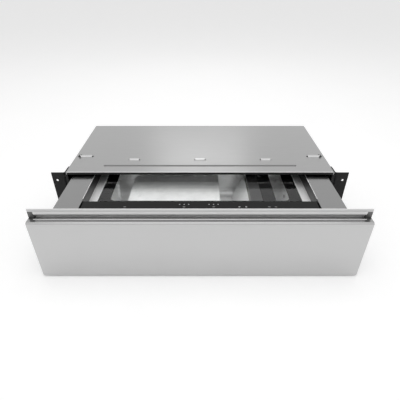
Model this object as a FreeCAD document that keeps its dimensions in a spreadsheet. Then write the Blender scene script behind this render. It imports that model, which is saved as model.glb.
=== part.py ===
import FreeCAD
import Part
import Sketcher
import os
import re

# Built-in vacuum sealing drawer, in millimetres.
# X runs to the right, Y to the rear and Z up. The origin is the centre of the housing's underside.
# The drawer stands partly open. Its own pieces are drawn in a frame of their own, in which Y is
# measured from the front panel's face, and each one's Placement sets that frame in the housing.

SIZES = {
    # Housing of folded sheet
    "housing_width": 532.0,
    "housing_depth": 246.0,
    "housing_height": 146.5,
    "housing_sheet": 1.0,
    "cover_lip": 5.5,
    "cover_skirt": 11.0,
    "base_flange": 6.0,
    "bead_length": 395.0,
    "bead_width": 9.0,
    "bead_depth": 2.0,
    "bead_from_front": 26.0,
    # Bridges lanced out of the top cover, three plain ones and two ribbed ones
    "bridge_width": 20.0,
    "bridge_depth": 6.0,
    "bridge_rise": 2.2,
    "bridge_slope": 1.0,
    "bridge_slit": 1.8,
    "bridge_root": 0.5,
    "bridge_spacing": 138.0,
    "bridge_from_front": 54.0,
    "comb_width": 28.0,
    "comb_depth": 6.0,
    "comb_rise": 2.2,
    "comb_slope": 1.0,
    "comb_slit": 2.5,
    "comb_tooth_rise": 0.6,
    "comb_edge": 21.5,
    "comb_from_front": 69.5,
    "comb_tooth": 2.2,
    # Brackets that screw to the niche
    "bracket_plate": 2.0,
    "bracket_ear": 28.5,
    "bracket_leg": 25.0,
    "bracket_bottom": 6.0,
    "bracket_top_drop": 0.5,
    "bracket_bend": 4.0,
    "niche_hole_edge": 9.0,
    "niche_hole_low": 25.0,
    "niche_hole_drop": 17.5,
    "niche_hole_radius": 2.45,
    "bracket_screw_back": 8.0,
    "bracket_screw_drop": 6.5,
    "bracket_screw_low": 17.0,
    # Rear panel
    "vent_length": 60.0,
    "vent_height": 3.0,
    "vent_pitch": 8.0,
    "vent_bottom": 78.0,
    "vent_x": 170.0,
    "inlet_x": 190.0,
    "inlet_z": 34.0,
    "inlet_width": 27.0,
    "inlet_height": 20.0,
    "inlet_depth": 18.0,
    "inlet_wall": 2.0,
    "inlet_flange_width": 48.0,
    "inlet_flange_height": 24.0,
    "inlet_flange": 2.0,
    "pin_length": 10.0,
    "stop_size": 18.0,
    "stop_length": 32.0,
    "stop_edge": 41.0,
    "stop_z": 100.0,
    # Telescopic rails, with their balls in strips
    "rail_length": 214.0,
    "rail_height": 45.0,
    "rail_width": 12.7,
    "rail_sheet": 1.2,
    "rail_centre": 52.0,
    "rail_inset": 2.0,
    "rail_lip": 2.4,
    "rail_outer_reach": 10.5,
    "rail_middle_start": 2.0,
    "rail_middle_reach": 11.0,
    "rail_inner_start": 4.5,
    "ball_gap": 4.8,
    "ball_clearance": 0.25,
    "strip_length": 70.0,
    "strip_width": 3.2,
    "strip_reach": 5.0,
    "strip_from_front": 72.0,
    # Drawer travel
    "drawer_open": 113.5,
    "bumper_thickness": 6.5,
    # Front panel
    "panel_width": 590.0,
    "panel_height": 140.0,
    "panel_bottom": 3.0,
    "panel_thickness": 18.0,
    "panel_sheet": 1.2,
    "panel_edge": 4.0,
    "lip_height": 18.0,
    "lip_edge": 0.6,
    "ledge_depth": 16.0,
    "grip_end": 9.0,
    "grip_rim": 12.5,
    "grip_bend_drop": 12.0,
    "grip_depth": 7.0,
    "grip_back_drop": 0.5,
    "grip_floor": 4.0,
    "grip_bend": 6.5,
    "grip_corner": 1.5,
    "backing_sheet": 1.5,
    "bumper_size": 10.0,
    "bumper_edge": 13.0,
    "bumper_rise": 42.0,
    "panel_screw_low": 22.0,
    "panel_screw_drop": 26.0,
    # Drawer body
    "drawer_length": 238.0,
    "drawer_floor": 8.0,
    "tray_sheet": 1.0,
    "frame_sheet": 1.0,
    "frame_tab": 14.0,
    "tray_front": 27.0,
    "tray_vent_bottom": 30.0,
    "deck_top": 116.0,
    "chamber_sheet": 1.5,
    "strip_top": 138.0,
    "strip_overhang": 2.7,
    "strip_inner": 210.0,
    "strip_sheet": 1.0,
    "strip_skirt": 7.0,
    # Chamber
    "chamber_width": 344.0,
    "chamber_front": 66.0,
    "chamber_length": 134.0,
    "chamber_depth": 63.0,
    "chamber_corner": 28.0,
    "chamber_foot": 10.0,
    "chamber_outer_foot": 6.5,
    "gasket_width": 10.0,
    "gasket_offset": 1.0,
    "gasket_gap": 0.2,
    "insert_left": 140.0,
    "insert_right": 39.5,
    "insert_thickness": 43.0,
    "insert_rise": 49.0,
    "insert_margin": 4.0,
    "insert_corner": 14.0,
    "insert_edge": 1.5,
    "insert_foot": 10.0,
    "insert_foot_inset": 26.0,
    # Lid
    "lid_width": 377.4,
    "lid_front": 54.0,
    "lid_length": 170.0,
    "lid_thickness": 8.0,
    "lid_top": 127.0,
    "lid_corner": 6.0,
    "hinge_x": 130.0,
    "hinge_behind": 6.0,
    "hinge_pin_radius": 2.5,
    "hinge_running": 0.05,
    "hinge_arm_width": 14.0,
    "hinge_ear": 4.0,
    "hinge_side_gap": 0.3,
    "hinge_clamp": 1.5,
    "hinge_clamp_length": 10.0,
    "hinge_knuckle_radius": 5.0,
    "hinge_foot": 11.0,
    "hinge_base": 1.2,
    "hinge_fixed": 0.02,
    # Control strip
    "control_half": 209.5,
    "control_front": 18.5,
    "control_rear": 53.0,
    "control_top": 134.5,
    "control_glass": 3.0,
    "control_wall": 1.5,
    "control_board": 1.6,
    "control_board_half": 150.0,
    "control_board_width": 20.0,
    "control_board_z": 129.6,
    # Sealing bar
    "seal_x": 106.0,
    "seal_width": 20.0,
    "seal_length": 112.0,
    "seal_height": 20.0,
    "seal_top": 107.0,
    "heater_width": 5.0,
    "heater_thickness": 0.4,
    "tape_thickness": 0.5,
    "tape_drop": 10.0,
    "lift_radius": 9.0,
    "lift_height": 24.0,
    "lift_rod_radius": 3.0,
    "lift_running": 0.05,
    "lift_spacing": 70.0,
    "lift_entry": 14.0,
    "lift_bottom": 1.0,
    "counter_width": 22.0,
    "counter_length": 120.0,
    "counter_height": 4.0,
    "counter_pad_width": 14.0,
    "counter_pad_height": 2.0,
    "counter_cushion": 25.0,
    "ramp_foot": 70.0,
    "ramp_sheet": 1.2,
    "ramp_gap": 1.5,
    "ramp_flange": 8.0,
    "ramp_drop": 1.0,
    # Vacuum pump, left of the chamber
    "pump_side_gap": 2.3,
    "pump_z": 50.0,
    "pump_front": 146.0,
    "pump_block_length": 52.0,
    "pump_block_width": 62.0,
    "pump_block_bottom": 21.0,
    "pump_block_height": 62.0,
    "pump_head_height": 9.0,
    "pump_fin": 2.0,
    "fin_pitch": 10.0,
    "fin_depth": 3.0,
    "pump_rounding": 6.0,
    "motor_radius": 28.0,
    "motor_length": 62.0,
    "motor_shaft_radius": 3.0,
    "motor_running": 0.05,
    "motor_shaft_entry": 20.0,
    "shaft_bottom": 1.0,
    "fan_fit": 0.02,
    "fan_radius": 24.0,
    "fan_hub_radius": 6.0,
    "fan_thickness": 8.0,
    "fan_gap": 2.0,
    "fan_blade": 1.2,
    "pump_base": 2.0,
    "isolator_size": 12.0,
    "hose_radius": 5.0,
    "hose_bore": 3.2,
    "hose_z": 87.5,
    "nozzle_radius": 3.1,
    "nozzle_length": 5.0,
    "nozzle_bore": 1.8,
    "hose_gap": 0.3,
    "port_y": 164.0,
    "port_gap": 0.2,
    "port_plate": 4.0,
    "port_plate_width": 16.0,
    "port_plate_height": 42.0,
    "port_slot": 8.0,
    "port_slot_width": 1.5,
    "port_slot_start": 5.0,
    "port_slot_pitch": 5.0,
    # Electronics and vent valve, right of the chamber
    "board_front": 60.0,
    "board_length": 130.0,
    "board_width": 62.0,
    "board_thickness": 1.6,
    "board_height": 8.0,
    "board_side_gap": 7.3,
    "transformer_length": 48.0,
    "transformer_width": 42.0,
    "transformer_height": 36.0,
    "board_margin": 6.0,
    "capacitor_radius": 9.0,
    "capacitor_height": 28.0,
    "relay_size": 18.0,
    "valve_y": 130.0,
    "valve_z": 92.0,
    "valve_block": 22.0,
    "coil_radius": 10.0,
    "coil_length": 24.0,
    # Fasteners
    "screw_radius": 2.0,
    "screw_clearance": 0.15,
    "screw_head_radius": 3.8,
    "screw_head_height": 2.0,
    "screw_length": 6.0,
}

# Sizes worked out from the ones above.
WORKED_OUT = {
    "half_width": "housing_width / 2",
    "wall_outer": "half_width - housing_sheet",
    "wall_inner": "wall_outer - housing_sheet",
    "rear_y": "housing_depth / 2",
    "comb_spacing": "half_width - comb_edge",
    "bracket_half": "half_width + bracket_ear",
    "niche_hole_x": "bracket_half - niche_hole_edge",
    "niche_hole_high": "housing_height - niche_hole_drop",
    "stop_x": "half_width - stop_edge",
    "cover_under": "housing_height - housing_sheet",
    "rail_zero": "wall_inner",
    "drawer_side": "wall_inner - rail_width",
    "tray_side": "drawer_side - frame_sheet",
    "face_closed": "-(housing_depth / 2 + bracket_plate + bumper_thickness + panel_thickness)",
    "drawer_front": "face_closed - drawer_open",
    "panel_top": "panel_bottom + panel_height",
    "ledge_z": "panel_top - lip_height",
    "grip_shoulder": "panel_top - grip_bend_drop",
    "grip_back": "ledge_depth + grip_depth",
    "grip_back_z": "ledge_z - grip_back_drop",
    "grip_slope": "(grip_shoulder - grip_back_z) / grip_depth",
    "grip_shift": "panel_sheet * (sqrt(grip_slope * grip_slope + 1) - grip_slope)",
    "panel_half": "panel_width / 2",
    "bumper_x": "panel_half - bumper_edge",
    "grip_half": "panel_half - grip_end",
    "deck_under": "deck_top - chamber_sheet",
    "chamber_half": "chamber_width / 2",
    "chamber_rear": "chamber_front + chamber_length",
    "chamber_floor": "deck_top - chamber_depth",
    "lid_under": "lid_top - lid_thickness",
    "lid_rear": "lid_front + lid_length",
    "hinge_y": "lid_rear + hinge_behind",
    "hinge_z": "lid_top - lid_thickness / 2",
    "seal_y": "chamber_front + chamber_length / 2",
    "rail_front": "-housing_depth / 2 + rail_inset",
    "pump_x": "tray_side - pump_side_gap - pump_block_width / 2",
    "board_x": "tray_side - board_side_gap - board_width / 2",
}

doc = FreeCAD.newDocument("vacuum_sealing_drawer")
sheet = doc.addObject("Spreadsheet::Sheet", "sizes")
NODES = []
STARTS = {}


def fill_sheet():
    """Write each size into the sheet under its alias, plain numbers first and formulas after them."""
    rows = list(SIZES.items()) + [(alias, "=" + text) for alias, text in WORKED_OUT.items()]
    for row, (alias, content) in enumerate(rows, start=1):
        sheet.set(f"A{row}", alias)
        sheet.set(f"B{row}", str(content))
        sheet.setAlias(f"B{row}", alias)
    doc.recompute()


def formula(text):
    """Turn an expression in size names into one that an object can be bound to."""
    return re.sub(r"\b(?!(?:sin|cos|tan|sqrt)\b)[a-z]\w*", lambda word: "sizes." + word.group(0), str(text))


def value(text):
    """The number that an expression in size names has now."""
    return float(sheet.evalExpression(formula(text)))


def bind(piece, path, text):
    """Bind one property of an object to an expression in size names."""
    piece.setExpression(path, formula(text))


def block(name, x, y, z):
    """A box between pairs of expressions along each axis."""
    box = doc.addObject("Part::Box", name)
    for side, axis, (low, high) in zip(("Length", "Width", "Height"), "xyz", (x, y, z)):
        bind(box, side, f"({high}) - ({low})")
        bind(box, f"Placement.Base.{axis}", low)
    STARTS[box.Name] = y[0]
    return box


TURNS = {
    "x": FreeCAD.Rotation(FreeCAD.Vector(0, 1, 0), 90),
    "y": FreeCAD.Rotation(FreeCAD.Vector(1, 0, 0), -90),
    "z": FreeCAD.Rotation(),
}


def rod(name, axis, radius, start, length, sides=0):
    """A round or many-sided bar along an axis from its start point, whose coordinates are expressions."""
    if sides:
        bar = doc.addObject("Part::Prism", name)
        bar.Polygon = sides
        bind(bar, "Circumradius", radius)
    else:
        bar = doc.addObject("Part::Cylinder", name)
        bind(bar, "Radius", radius)
    bar.Placement = FreeCAD.Placement(FreeCAD.Vector(), TURNS[axis])
    bind(bar, "Height", length)
    for letter, place in zip("xyz", start):
        bind(bar, f"Placement.Base.{letter}", place)
    STARTS[bar.Name] = start[1]
    return bar


def group(name, pieces):
    """Several separate solids held as one object."""
    compound = doc.addObject("Part::Compound", name)
    compound.Links = pieces
    return compound


def fuse(name, pieces):
    """One solid from several that touch or overlap."""
    joined = doc.addObject("Part::MultiFuse", name)
    joined.Shapes = pieces
    joined.Refine = True
    return joined


def cut(name, base, tools):
    """A solid less some others, which don't touch each other."""
    result = doc.addObject("Part::Cut", name)
    result.Base = base
    result.Tool = tools[0] if len(tools) == 1 else group(name + "_tools", tools)
    result.Refine = True
    return result


def finish(piece, label, carrier="0"):
    """Label a finished piece, set it where its carrier stands and list it as a node."""
    piece.Label = label
    bind(piece, "Placement.Base.y", f"({STARTS.get(piece.Name, '0')}) + ({carrier})")
    NODES.append(piece)
    return piece


def mirrored(label, source):
    """The piece on the other side of the middle plane."""
    twin = doc.addObject("Part::Mirroring", label)
    twin.Source = source
    twin.Normal = FreeCAD.Vector(1, 0, 0)
    twin.Label = label
    NODES.append(twin)
    return twin


def new_body(name):
    """An empty body for sketched features."""
    return doc.addObject("PartDesign::Body", name)


def sketch_on(body, name, plane, offset="0"):
    """A sketch on one of the body's origin planes, moved out along the plane's normal."""
    sketch = body.newObject("Sketcher::SketchObject", name)
    support = next(item for item in body.Origin.OriginFeatures if item.Role == plane)
    sketch.AttachmentSupport = [(support, "")]
    sketch.MapMode = "FlatFace"
    bind(sketch, "AttachmentOffset.Base.z", offset)
    return sketch


def fix_point(sketch, index, end, place):
    """Hold one end of a sketched line at a place given by two expressions."""
    for kind, text in zip(("DistanceX", "DistanceY"), place):
        number = sketch.addConstraint(Sketcher.Constraint(kind, -1, 1, index, end, value(text)))
        bind(sketch, f"Constraints[{number}]", text)


def outline(sketch, corners):
    """Draw a closed outline of straight lines between corners given by pairs of expressions."""
    points = [FreeCAD.Vector(value(across), value(up), 0) for across, up in corners]
    first = sketch.GeometryCount
    count = len(points)
    for index, point in enumerate(points):
        sketch.addGeometry(Part.LineSegment(point, points[(index + 1) % count]), False)
    for index in range(count):
        following = first + (index + 1) % count
        sketch.addConstraint(Sketcher.Constraint("Coincident", first + index, 2, following, 1))
    for index, corner in enumerate(corners):
        fix_point(sketch, first + index, 1, corner)
    return sketch


def rectangle(sketch, across, up):
    """Draw a rectangle between two pairs of expressions."""
    (left, right), (low, high) = across, up
    return outline(sketch, [(left, low), (right, low), (right, high), (left, high)])


def circle(sketch, centre, radius):
    """Draw a circle round a centre given by two expressions."""
    middle = FreeCAD.Vector(value(centre[0]), value(centre[1]), 0)
    index = sketch.addGeometry(Part.Circle(middle, FreeCAD.Vector(0, 0, 1), value(radius)), False)
    fix_point(sketch, index, 3, centre)
    number = sketch.addConstraint(Sketcher.Constraint("Radius", index, value(radius)))
    bind(sketch, f"Constraints[{number}]", radius)
    return sketch


def pad(body, sketch, length, middle=False, back=False):
    """Extrude a sketch along its normal, to both sides of it or against it."""
    feature = body.newObject("PartDesign::Pad", sketch.Name + "_pad")
    feature.Profile = sketch
    feature.Midplane = middle
    feature.Reversed = back
    bind(feature, "Length", length)
    return feature


def pocket(body, sketch, length, middle=False, back=False):
    """Cut a sketch out of the body and check that the body lost volume."""
    doc.recompute()
    before = body.Shape.Volume
    feature = body.newObject("PartDesign::Pocket", sketch.Name + "_pocket")
    feature.Profile = sketch
    feature.Midplane = middle
    feature.Reversed = back
    bind(feature, "Length", length)
    doc.recompute()
    if not body.Shape.Volume < before:
        raise RuntimeError(f"{feature.Name} cuts nothing")
    return feature


def edges_at(feature, direction, places):
    """Names of the edges that run along an axis and whose middle is at one of the places.

    Each place is three expressions, or None for any coordinate.
    """
    doc.recompute()
    ways = {"x": FreeCAD.Vector(1, 0, 0), "y": FreeCAD.Vector(0, 1, 0), "z": FreeCAD.Vector(0, 0, 1)}
    along = ways[direction]
    wanted = [[None if text is None else value(text) for text in place] for place in places]
    names = []
    for number, edge in enumerate(feature.Shape.Edges, start=1):
        if not isinstance(edge.Curve, Part.Line):
            continue
        if abs(abs(edge.Curve.Direction.dot(along)) - 1) > 1e-6:
            continue
        middle = edge.CenterOfMass
        for place in wanted:
            if all(want is None or abs(have - want) < 1e-3 for have, want in zip(middle, place)):
                names.append(f"Edge{number}")
                break
    if not names:
        raise RuntimeError(f"{feature.Name} has no such edge")
    return names


def fillet(body, feature, names, radius):
    """Round some edges of a feature."""
    rounding = body.newObject("PartDesign::Fillet", feature.Name + "_fillet")
    rounding.Base = (feature, names)
    bind(rounding, "Radius", radius)
    return rounding


def chamfer(body, feature, names, size):
    """Cut some edges of a feature off at an angle."""
    bevel = body.newObject("PartDesign::Chamfer", feature.Name + "_chamfer")
    bevel.Base = (feature, names)
    bind(bevel, "Size", size)
    return bevel


def faces_at(feature, direction, place):
    """Names of the flat faces whose normal is along an axis and which lie at a height on it."""
    doc.recompute()
    index = "xyz".index(direction)
    names = []
    for number, face in enumerate(feature.Shape.Faces, start=1):
        if not isinstance(face.Surface, Part.Plane):
            continue
        if abs(abs(face.Surface.Axis[index]) - 1) > 1e-6:
            continue
        if abs(face.CenterOfMass[index] - value(place)) < 1e-3:
            names.append(f"Face{number}")
    return names


def screw(name, axis, seat, length):
    """A screw with a hexagonal head on its seat and its shank pointing down the axis."""
    index = "xyz".index(axis)
    start = list(seat)
    start[index] = f"({seat[index]}) - ({length})"
    head = rod(name + "_head", axis, "screw_head_radius", seat, "screw_head_height", sides=6)
    shank = rod(name + "_shank", axis, "screw_radius", start, length, sides=12)
    return fuse(name, [head, shank])


def housing_base():
    """The floor and both side walls, folded from one sheet, with a low flange along the front."""
    body = new_body("housing_base")
    section = sketch_on(body, "base_section", "XZ_Plane")
    outline(section, [
        ("-wall_outer", "0"), ("wall_outer", "0"),
        ("wall_outer", "cover_under"), ("wall_inner", "cover_under"),
        ("wall_inner", "housing_sheet"), ("-wall_inner", "housing_sheet"),
        ("-wall_inner", "cover_under"), ("-wall_outer", "cover_under"),
    ])
    pad(body, section, "housing_depth - 2 * housing_sheet", middle=True)
    flange = sketch_on(body, "base_flange_plan", "XY_Plane", "housing_sheet")
    rectangle(flange, ("-wall_inner", "wall_inner"), ("-rear_y + housing_sheet", "-rear_y + 2 * housing_sheet"))
    pad(body, flange, "base_flange - housing_sheet")
    holes = sketch_on(body, "base_holes", "YZ_Plane")
    for y, z in BRACKET_SCREWS:
        circle(holes, (y, z), "screw_radius + screw_clearance")
    pocket(body, holes, "housing_width", middle=True)
    return finish(body, "housing_base")


# The two screws through each side wall that hold its bracket.
BRACKET_SCREWS = [
    ("-rear_y + bracket_leg - bracket_screw_back", "housing_height - bracket_screw_drop"),
    ("-rear_y + bracket_leg - bracket_screw_back", "bracket_screw_low"),
]


def top_cover():
    """The top sheet with a lip in front, skirts on the other sides, a bead and five bridges."""
    body = new_body("housing_top_cover")
    plan = sketch_on(body, "cover_plan", "XY_Plane", "cover_under")
    rectangle(plan, ("-half_width", "half_width"), ("-rear_y", "rear_y"))
    pad(body, plan, "housing_sheet")
    lip = sketch_on(body, "cover_lip_plan", "XY_Plane", "cover_under")
    rectangle(lip, ("-half_width", "half_width"), ("-rear_y", "-rear_y + housing_sheet"))
    pad(body, lip, "cover_lip - housing_sheet", back=True)
    skirts = sketch_on(body, "cover_skirts", "XY_Plane", "cover_under")
    outline(skirts, [
        ("-half_width", "-rear_y + housing_sheet"), ("-wall_outer", "-rear_y + housing_sheet"),
        ("-wall_outer", "rear_y - housing_sheet"), ("wall_outer", "rear_y - housing_sheet"),
        ("wall_outer", "-rear_y + housing_sheet"), ("half_width", "-rear_y + housing_sheet"),
        ("half_width", "rear_y"), ("-half_width", "rear_y"),
    ])
    pad(body, skirts, "cover_skirt", back=True)
    under = sketch_on(body, "bead_underside", "XY_Plane", "cover_under")
    bead_y = "-rear_y + bead_from_front"
    half_bead = "bead_width / 2 + housing_sheet"
    bead_span = (f"{bead_y} - {half_bead}", f"{bead_y} + {half_bead}")
    rectangle(under, ("-bead_length / 2", "bead_length / 2"), bead_span)
    rib = pad(body, under, "bead_depth", back=True)
    windows = sketch_on(body, "bridge_windows", "XY_Plane", "housing_height")
    for x in BRIDGES:
        rectangle(windows, (f"{x} - bridge_width / 2 - bridge_slit", f"{x} + bridge_width / 2 + bridge_slit"),
                  around("bridge", "depth"))
    for x in COMBS:
        rectangle(windows, (f"{x} - comb_width / 2 - comb_slit", f"{x} + comb_width / 2 + comb_slit"),
                  around("comb", "depth"))
    pocket(body, windows, "housing_sheet")
    groove = sketch_on(body, "bead_groove", "XZ_Plane", f"-({bead_y})")
    outline(groove, [
        ("-bead_length / 2 + bead_depth", "housing_height - bead_depth"),
        ("bead_length / 2 - bead_depth", "housing_height - bead_depth"),
        ("bead_length / 2", "housing_height"), ("-bead_length / 2", "housing_height"),
    ])
    pocket(body, groove, "bead_width", middle=True)
    for kind, places in (("bridge", BRIDGES), ("comb", COMBS)):
        for number, x in enumerate(places):
            section = sketch_on(body, f"{kind}_section_{number}", "YZ_Plane", x)
            arch(section, kind)
            pad(body, section, f"{kind}_width", middle=True)
    teeth = sketch_on(body, "comb_teeth", "XZ_Plane", "rear_y - comb_from_front")
    top = "housing_height + comb_rise"
    for x in COMBS:
        for step in range(-5, 6, 2):
            middle = f"{x} + {step} * comb_tooth"
            across = (f"{middle} - comb_tooth / 2", f"{middle} + comb_tooth / 2")
            rectangle(teeth, across, (top, f"{top} + comb_tooth_rise"))
    last = pad(body, teeth, "comb_depth - 2 * comb_slope", middle=True)
    holes = sketch_on(body, "skirt_holes", "YZ_Plane")
    circle(holes, BRACKET_SCREWS[0], "screw_radius + screw_clearance")
    last = pocket(body, holes, "2 * housing_width", middle=True)
    edges = edges_at(last, "x", [("0", "-rear_y", "housing_height")])
    sides = [(x, "0", "housing_height") for x in ("half_width", "-half_width")]
    edges += edges_at(last, "y", sides)
    fillet(body, last, edges, "housing_sheet * 0.9")
    return finish(body, "housing_top_cover")


BRIDGES = ["-bridge_spacing", "0", "bridge_spacing"]
COMBS = ["-comb_spacing", "comb_spacing"]


def around(kind, size):
    """The two ends, along Y, of something centred on a row of bridges or combs."""
    middle = f"-rear_y + {kind}_from_front"
    return (f"{middle} - {kind}_{size} / 2", f"{middle} + {kind}_{size} / 2")


def arch(sketch, kind):
    """Section of a strip raised out of its window, which slopes up from the window's front and rear edges."""
    front, rear = around(kind, "depth")
    slope = f"{kind}_slope"
    low, high = "cover_under", "housing_height"
    raised, under = f"{high} + {kind}_rise", f"{low} + {kind}_rise"
    outline(sketch, [
        (f"{front} - bridge_root", low), (f"{front} + bridge_root", low),
        (f"{front} + {slope} + bridge_root", under), (f"{rear} - {slope} - bridge_root", under),
        (f"{rear} - bridge_root", low), (f"{rear} + bridge_root", low),
        (f"{rear} + bridge_root", high), (f"{rear} - {slope}", raised),
        (f"{front} + {slope}", raised), (f"{front} - bridge_root", high),
    ])


def rear_panel():
    """The rear wall, with rows of vents and a cut-out for the power inlet."""
    body = new_body("housing_rear_panel")
    plate = sketch_on(body, "rear_plate", "XZ_Plane", "-rear_y + 2 * housing_sheet")
    rectangle(plate, ("-wall_inner", "wall_inner"), ("housing_sheet", "cover_under"))
    pad(body, plate, "housing_sheet", back=True)
    window = sketch_on(body, "inlet_window", "XZ_Plane", "-rear_y + housing_sheet")
    rectangle(window, centred("inlet_x", "inlet_width"), centred("inlet_z", "inlet_height"))
    pocket(body, window, "2 * housing_sheet", middle=True)
    vents = sketch_on(body, "rear_vents", "XZ_Plane", "-rear_y + housing_sheet")
    for side in (-1, 0, 1):
        for row in range(5):
            low = f"vent_bottom + {row} * vent_pitch"
            rectangle(vents, centred(f"{side} * vent_x", "vent_length"), (low, f"{low} + vent_height"))
    pocket(body, vents, "2 * housing_sheet", middle=True)
    return finish(body, "housing_rear_panel")


def centred(middle, width):
    """The pair of expressions for a length centred on a place."""
    return (f"({middle}) - ({width}) / 2", f"({middle}) + ({width}) / 2")


def power_inlet():
    """An appliance inlet socket with a flange outside, a hollow shroud and three flat pins."""
    body = new_body("power_inlet")
    outside = "-rear_y + housing_sheet"
    flange = sketch_on(body, "inlet_flange", "XZ_Plane", outside)
    rectangle(flange, centred("inlet_x", "inlet_flange_width"), centred("inlet_z", "inlet_flange_height"))
    pad(body, flange, "inlet_flange", back=True)
    shroud = sketch_on(body, "inlet_shroud", "XZ_Plane", outside)
    gap = "screw_clearance * 2"
    shroud_height = centred("inlet_z", f"(inlet_height - {gap})")
    rectangle(shroud, centred("inlet_x", f"(inlet_width - {gap})"), shroud_height)
    pad(body, shroud, "inlet_depth")
    hollow = sketch_on(body, "inlet_hollow", "XZ_Plane", f"{outside} - inlet_flange")
    rectangle(
        hollow,
        centred("inlet_x", "(inlet_width - 2 * inlet_wall)"),
        centred("inlet_z", "(inlet_height - 2 * inlet_wall)"),
    )
    pocket(body, hollow, "inlet_depth + inlet_flange - inlet_wall", back=True)
    pins = sketch_on(body, "inlet_pins", "XZ_Plane", f"{outside} + inlet_depth - inlet_wall")
    for x, z in (("inlet_x - 7", "inlet_z - 2"), ("inlet_x + 7", "inlet_z - 2"), ("inlet_x", "inlet_z + 2")):
        rectangle(pins, centred(x, "2"), centred(z, "4"))
    pad(body, pins, "pin_length", back=True)
    return finish(body, "power_inlet")


def bracket_right():
    """An angle whose leg lies on the cover's skirt and whose flange screws to the niche."""
    body = new_body("bracket_right")
    plan = sketch_on(body, "bracket_plan", "XY_Plane", "bracket_bottom")
    outline(plan, [
        ("half_width", "-rear_y - bracket_plate"), ("bracket_half", "-rear_y - bracket_plate"),
        ("bracket_half", "-rear_y"), ("half_width + bracket_plate", "-rear_y"),
        ("half_width + bracket_plate", "-rear_y + bracket_leg"), ("half_width", "-rear_y + bracket_leg"),
    ])
    angle = pad(body, plan, "housing_height - bracket_top_drop - bracket_bottom")
    outer = edges_at(angle, "z", [("half_width", "-rear_y - bracket_plate", None)])
    bend = fillet(body, angle, outer, "bracket_bend + bracket_plate")
    inner = edges_at(bend, "z", [("half_width + bracket_plate", "-rear_y", None)])
    bend = fillet(body, bend, inner, "bracket_bend")
    niche = sketch_on(body, "niche_holes", "XZ_Plane", "rear_y")
    for z in ("niche_hole_low", "niche_hole_high"):
        circle(niche, ("niche_hole_x", z), "niche_hole_radius")
    pocket(body, niche, "3 * bracket_plate", middle=True)
    holes = sketch_on(body, "bracket_leg_holes", "YZ_Plane", "half_width + bracket_plate / 2")
    for y, z in BRACKET_SCREWS:
        circle(holes, (y, z), "screw_radius + screw_clearance")
    pocket(body, holes, "2 * bracket_plate", middle=True)
    return finish(body, "mounting_bracket_right")


def rail_section(body, name, plan):
    """Draw a rail's section, given as distances in from the housing wall and up from its centre."""
    section = sketch_on(body, name, "XZ_Plane", "-rail_front")
    outline(section, [(f"rail_zero - ({across})", f"rail_centre + ({up})") for across, up in plan])
    pad(body, section, "rail_length", back=True)
    return section


def rails():
    """Three-part telescopic rails: outer on the housing, middle between, inner on the drawer."""
    outer = new_body("rail_outer")
    half = "rail_height / 2"
    lip = f"{half} - rail_sheet - rail_lip"
    reach = "rail_outer_reach"
    upper = [
        ("0", half), (reach, half), (reach, lip), (f"{reach} - rail_sheet", lip),
        (f"{reach} - rail_sheet", f"{half} - rail_sheet"), ("rail_sheet", f"{half} - rail_sheet"),
    ]
    rail_section(outer, "rail_outer_section", closed_channel(upper))
    middle = new_body("rail_middle")
    half = f"(rail_height / 2 - rail_sheet - ball_gap)"
    start = "rail_middle_start"
    upper = [
        (start, half), ("rail_middle_reach", half), ("rail_middle_reach", f"{half} - rail_sheet"),
        (f"{start} + rail_sheet", f"{half} - rail_sheet"),
    ]
    rail_section(middle, "rail_middle_section", closed_channel(upper))
    inner = new_body("rail_inner")
    half = f"({half} - rail_sheet - ball_gap)"
    upper = [
        ("rail_width", half), ("rail_inner_start", half), ("rail_inner_start", f"{half} - rail_sheet"),
        ("rail_width - rail_sheet", f"{half} - rail_sheet"),
    ]
    rail_section(inner, "rail_inner_section", closed_channel(upper))
    finish(outer, "rail_outer_right")
    mirrored("rail_outer_left", outer)
    finish(middle, "rail_middle_right", "-drawer_open / 2")
    mirrored("rail_middle_left", middle)
    finish(inner, "rail_inner_right", "-drawer_open")
    mirrored("rail_inner_left", inner)


def closed_channel(upper):
    """A channel's whole section from its upper half: the same points again, upside down."""
    return upper + [(across, f"-({up})") for across, up in reversed(upper)]


def ball_strips():
    """The strips that hold the balls, above and below in each race of each rail."""
    races = {
        "outer": ("rail_height / 2 - rail_sheet", "-drawer_open / 4"),
        "inner": ("rail_height / 2 - 2 * rail_sheet - ball_gap", "-drawer_open * 3 / 4"),
    }
    for race, (top, carrier) in races.items():
        right = f"rail_zero - strip_reach"
        start = "rail_front + strip_from_front"
        pieces = []
        for sign, place in (("", "upper"), ("-", "lower")):
            ends = [f"rail_centre {sign or '+'} ({top} - ball_clearance)",
                    f"rail_centre {sign or '+'} ({top} - ball_gap + ball_clearance)"]
            low, high = ends if sign else reversed(ends)
            pieces.append(block(
                f"{race}_strip_{place}",
                (f"{right} - strip_width", right), (start, f"{start} + strip_length"), (low, high),
            ))
        strips = finish(group(f"{race}_strips", pieces), f"ball_strip_{race}_right", carrier)
        mirrored(f"ball_strip_{race}_left", strips)


def housing_screws():
    """The screws in the housing's sides, which hold the brackets."""
    pieces = []
    for number, (y, z) in enumerate(BRACKET_SCREWS):
        seat = ("half_width + bracket_plate", y, z)
        pieces.append(screw(f"bracket_screw_{number}", "x", seat, "screw_length"))
    right = group("housing_screws_right", pieces)
    return finish(group("housing_screws_all", [right, twin("housing_screws_left", right)]), "housing_screws")


def twin(name, source):
    """A mirror image that isn't a node by itself."""
    image = doc.addObject("Part::Mirroring", name)
    image.Source = source
    image.Normal = FreeCAD.Vector(1, 0, 0)
    return image


def rear_stops():
    """Two rubber stops inside the rear panel."""
    along = ("rear_y - 2 * housing_sheet - stop_length", "rear_y - 2 * housing_sheet")
    right = block("stop_right", centred("stop_x", "stop_size"), along, centred("stop_z", "stop_size"))
    return finish(group("stops", [right, twin("stop_left", right)]), "rear_stops")


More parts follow.
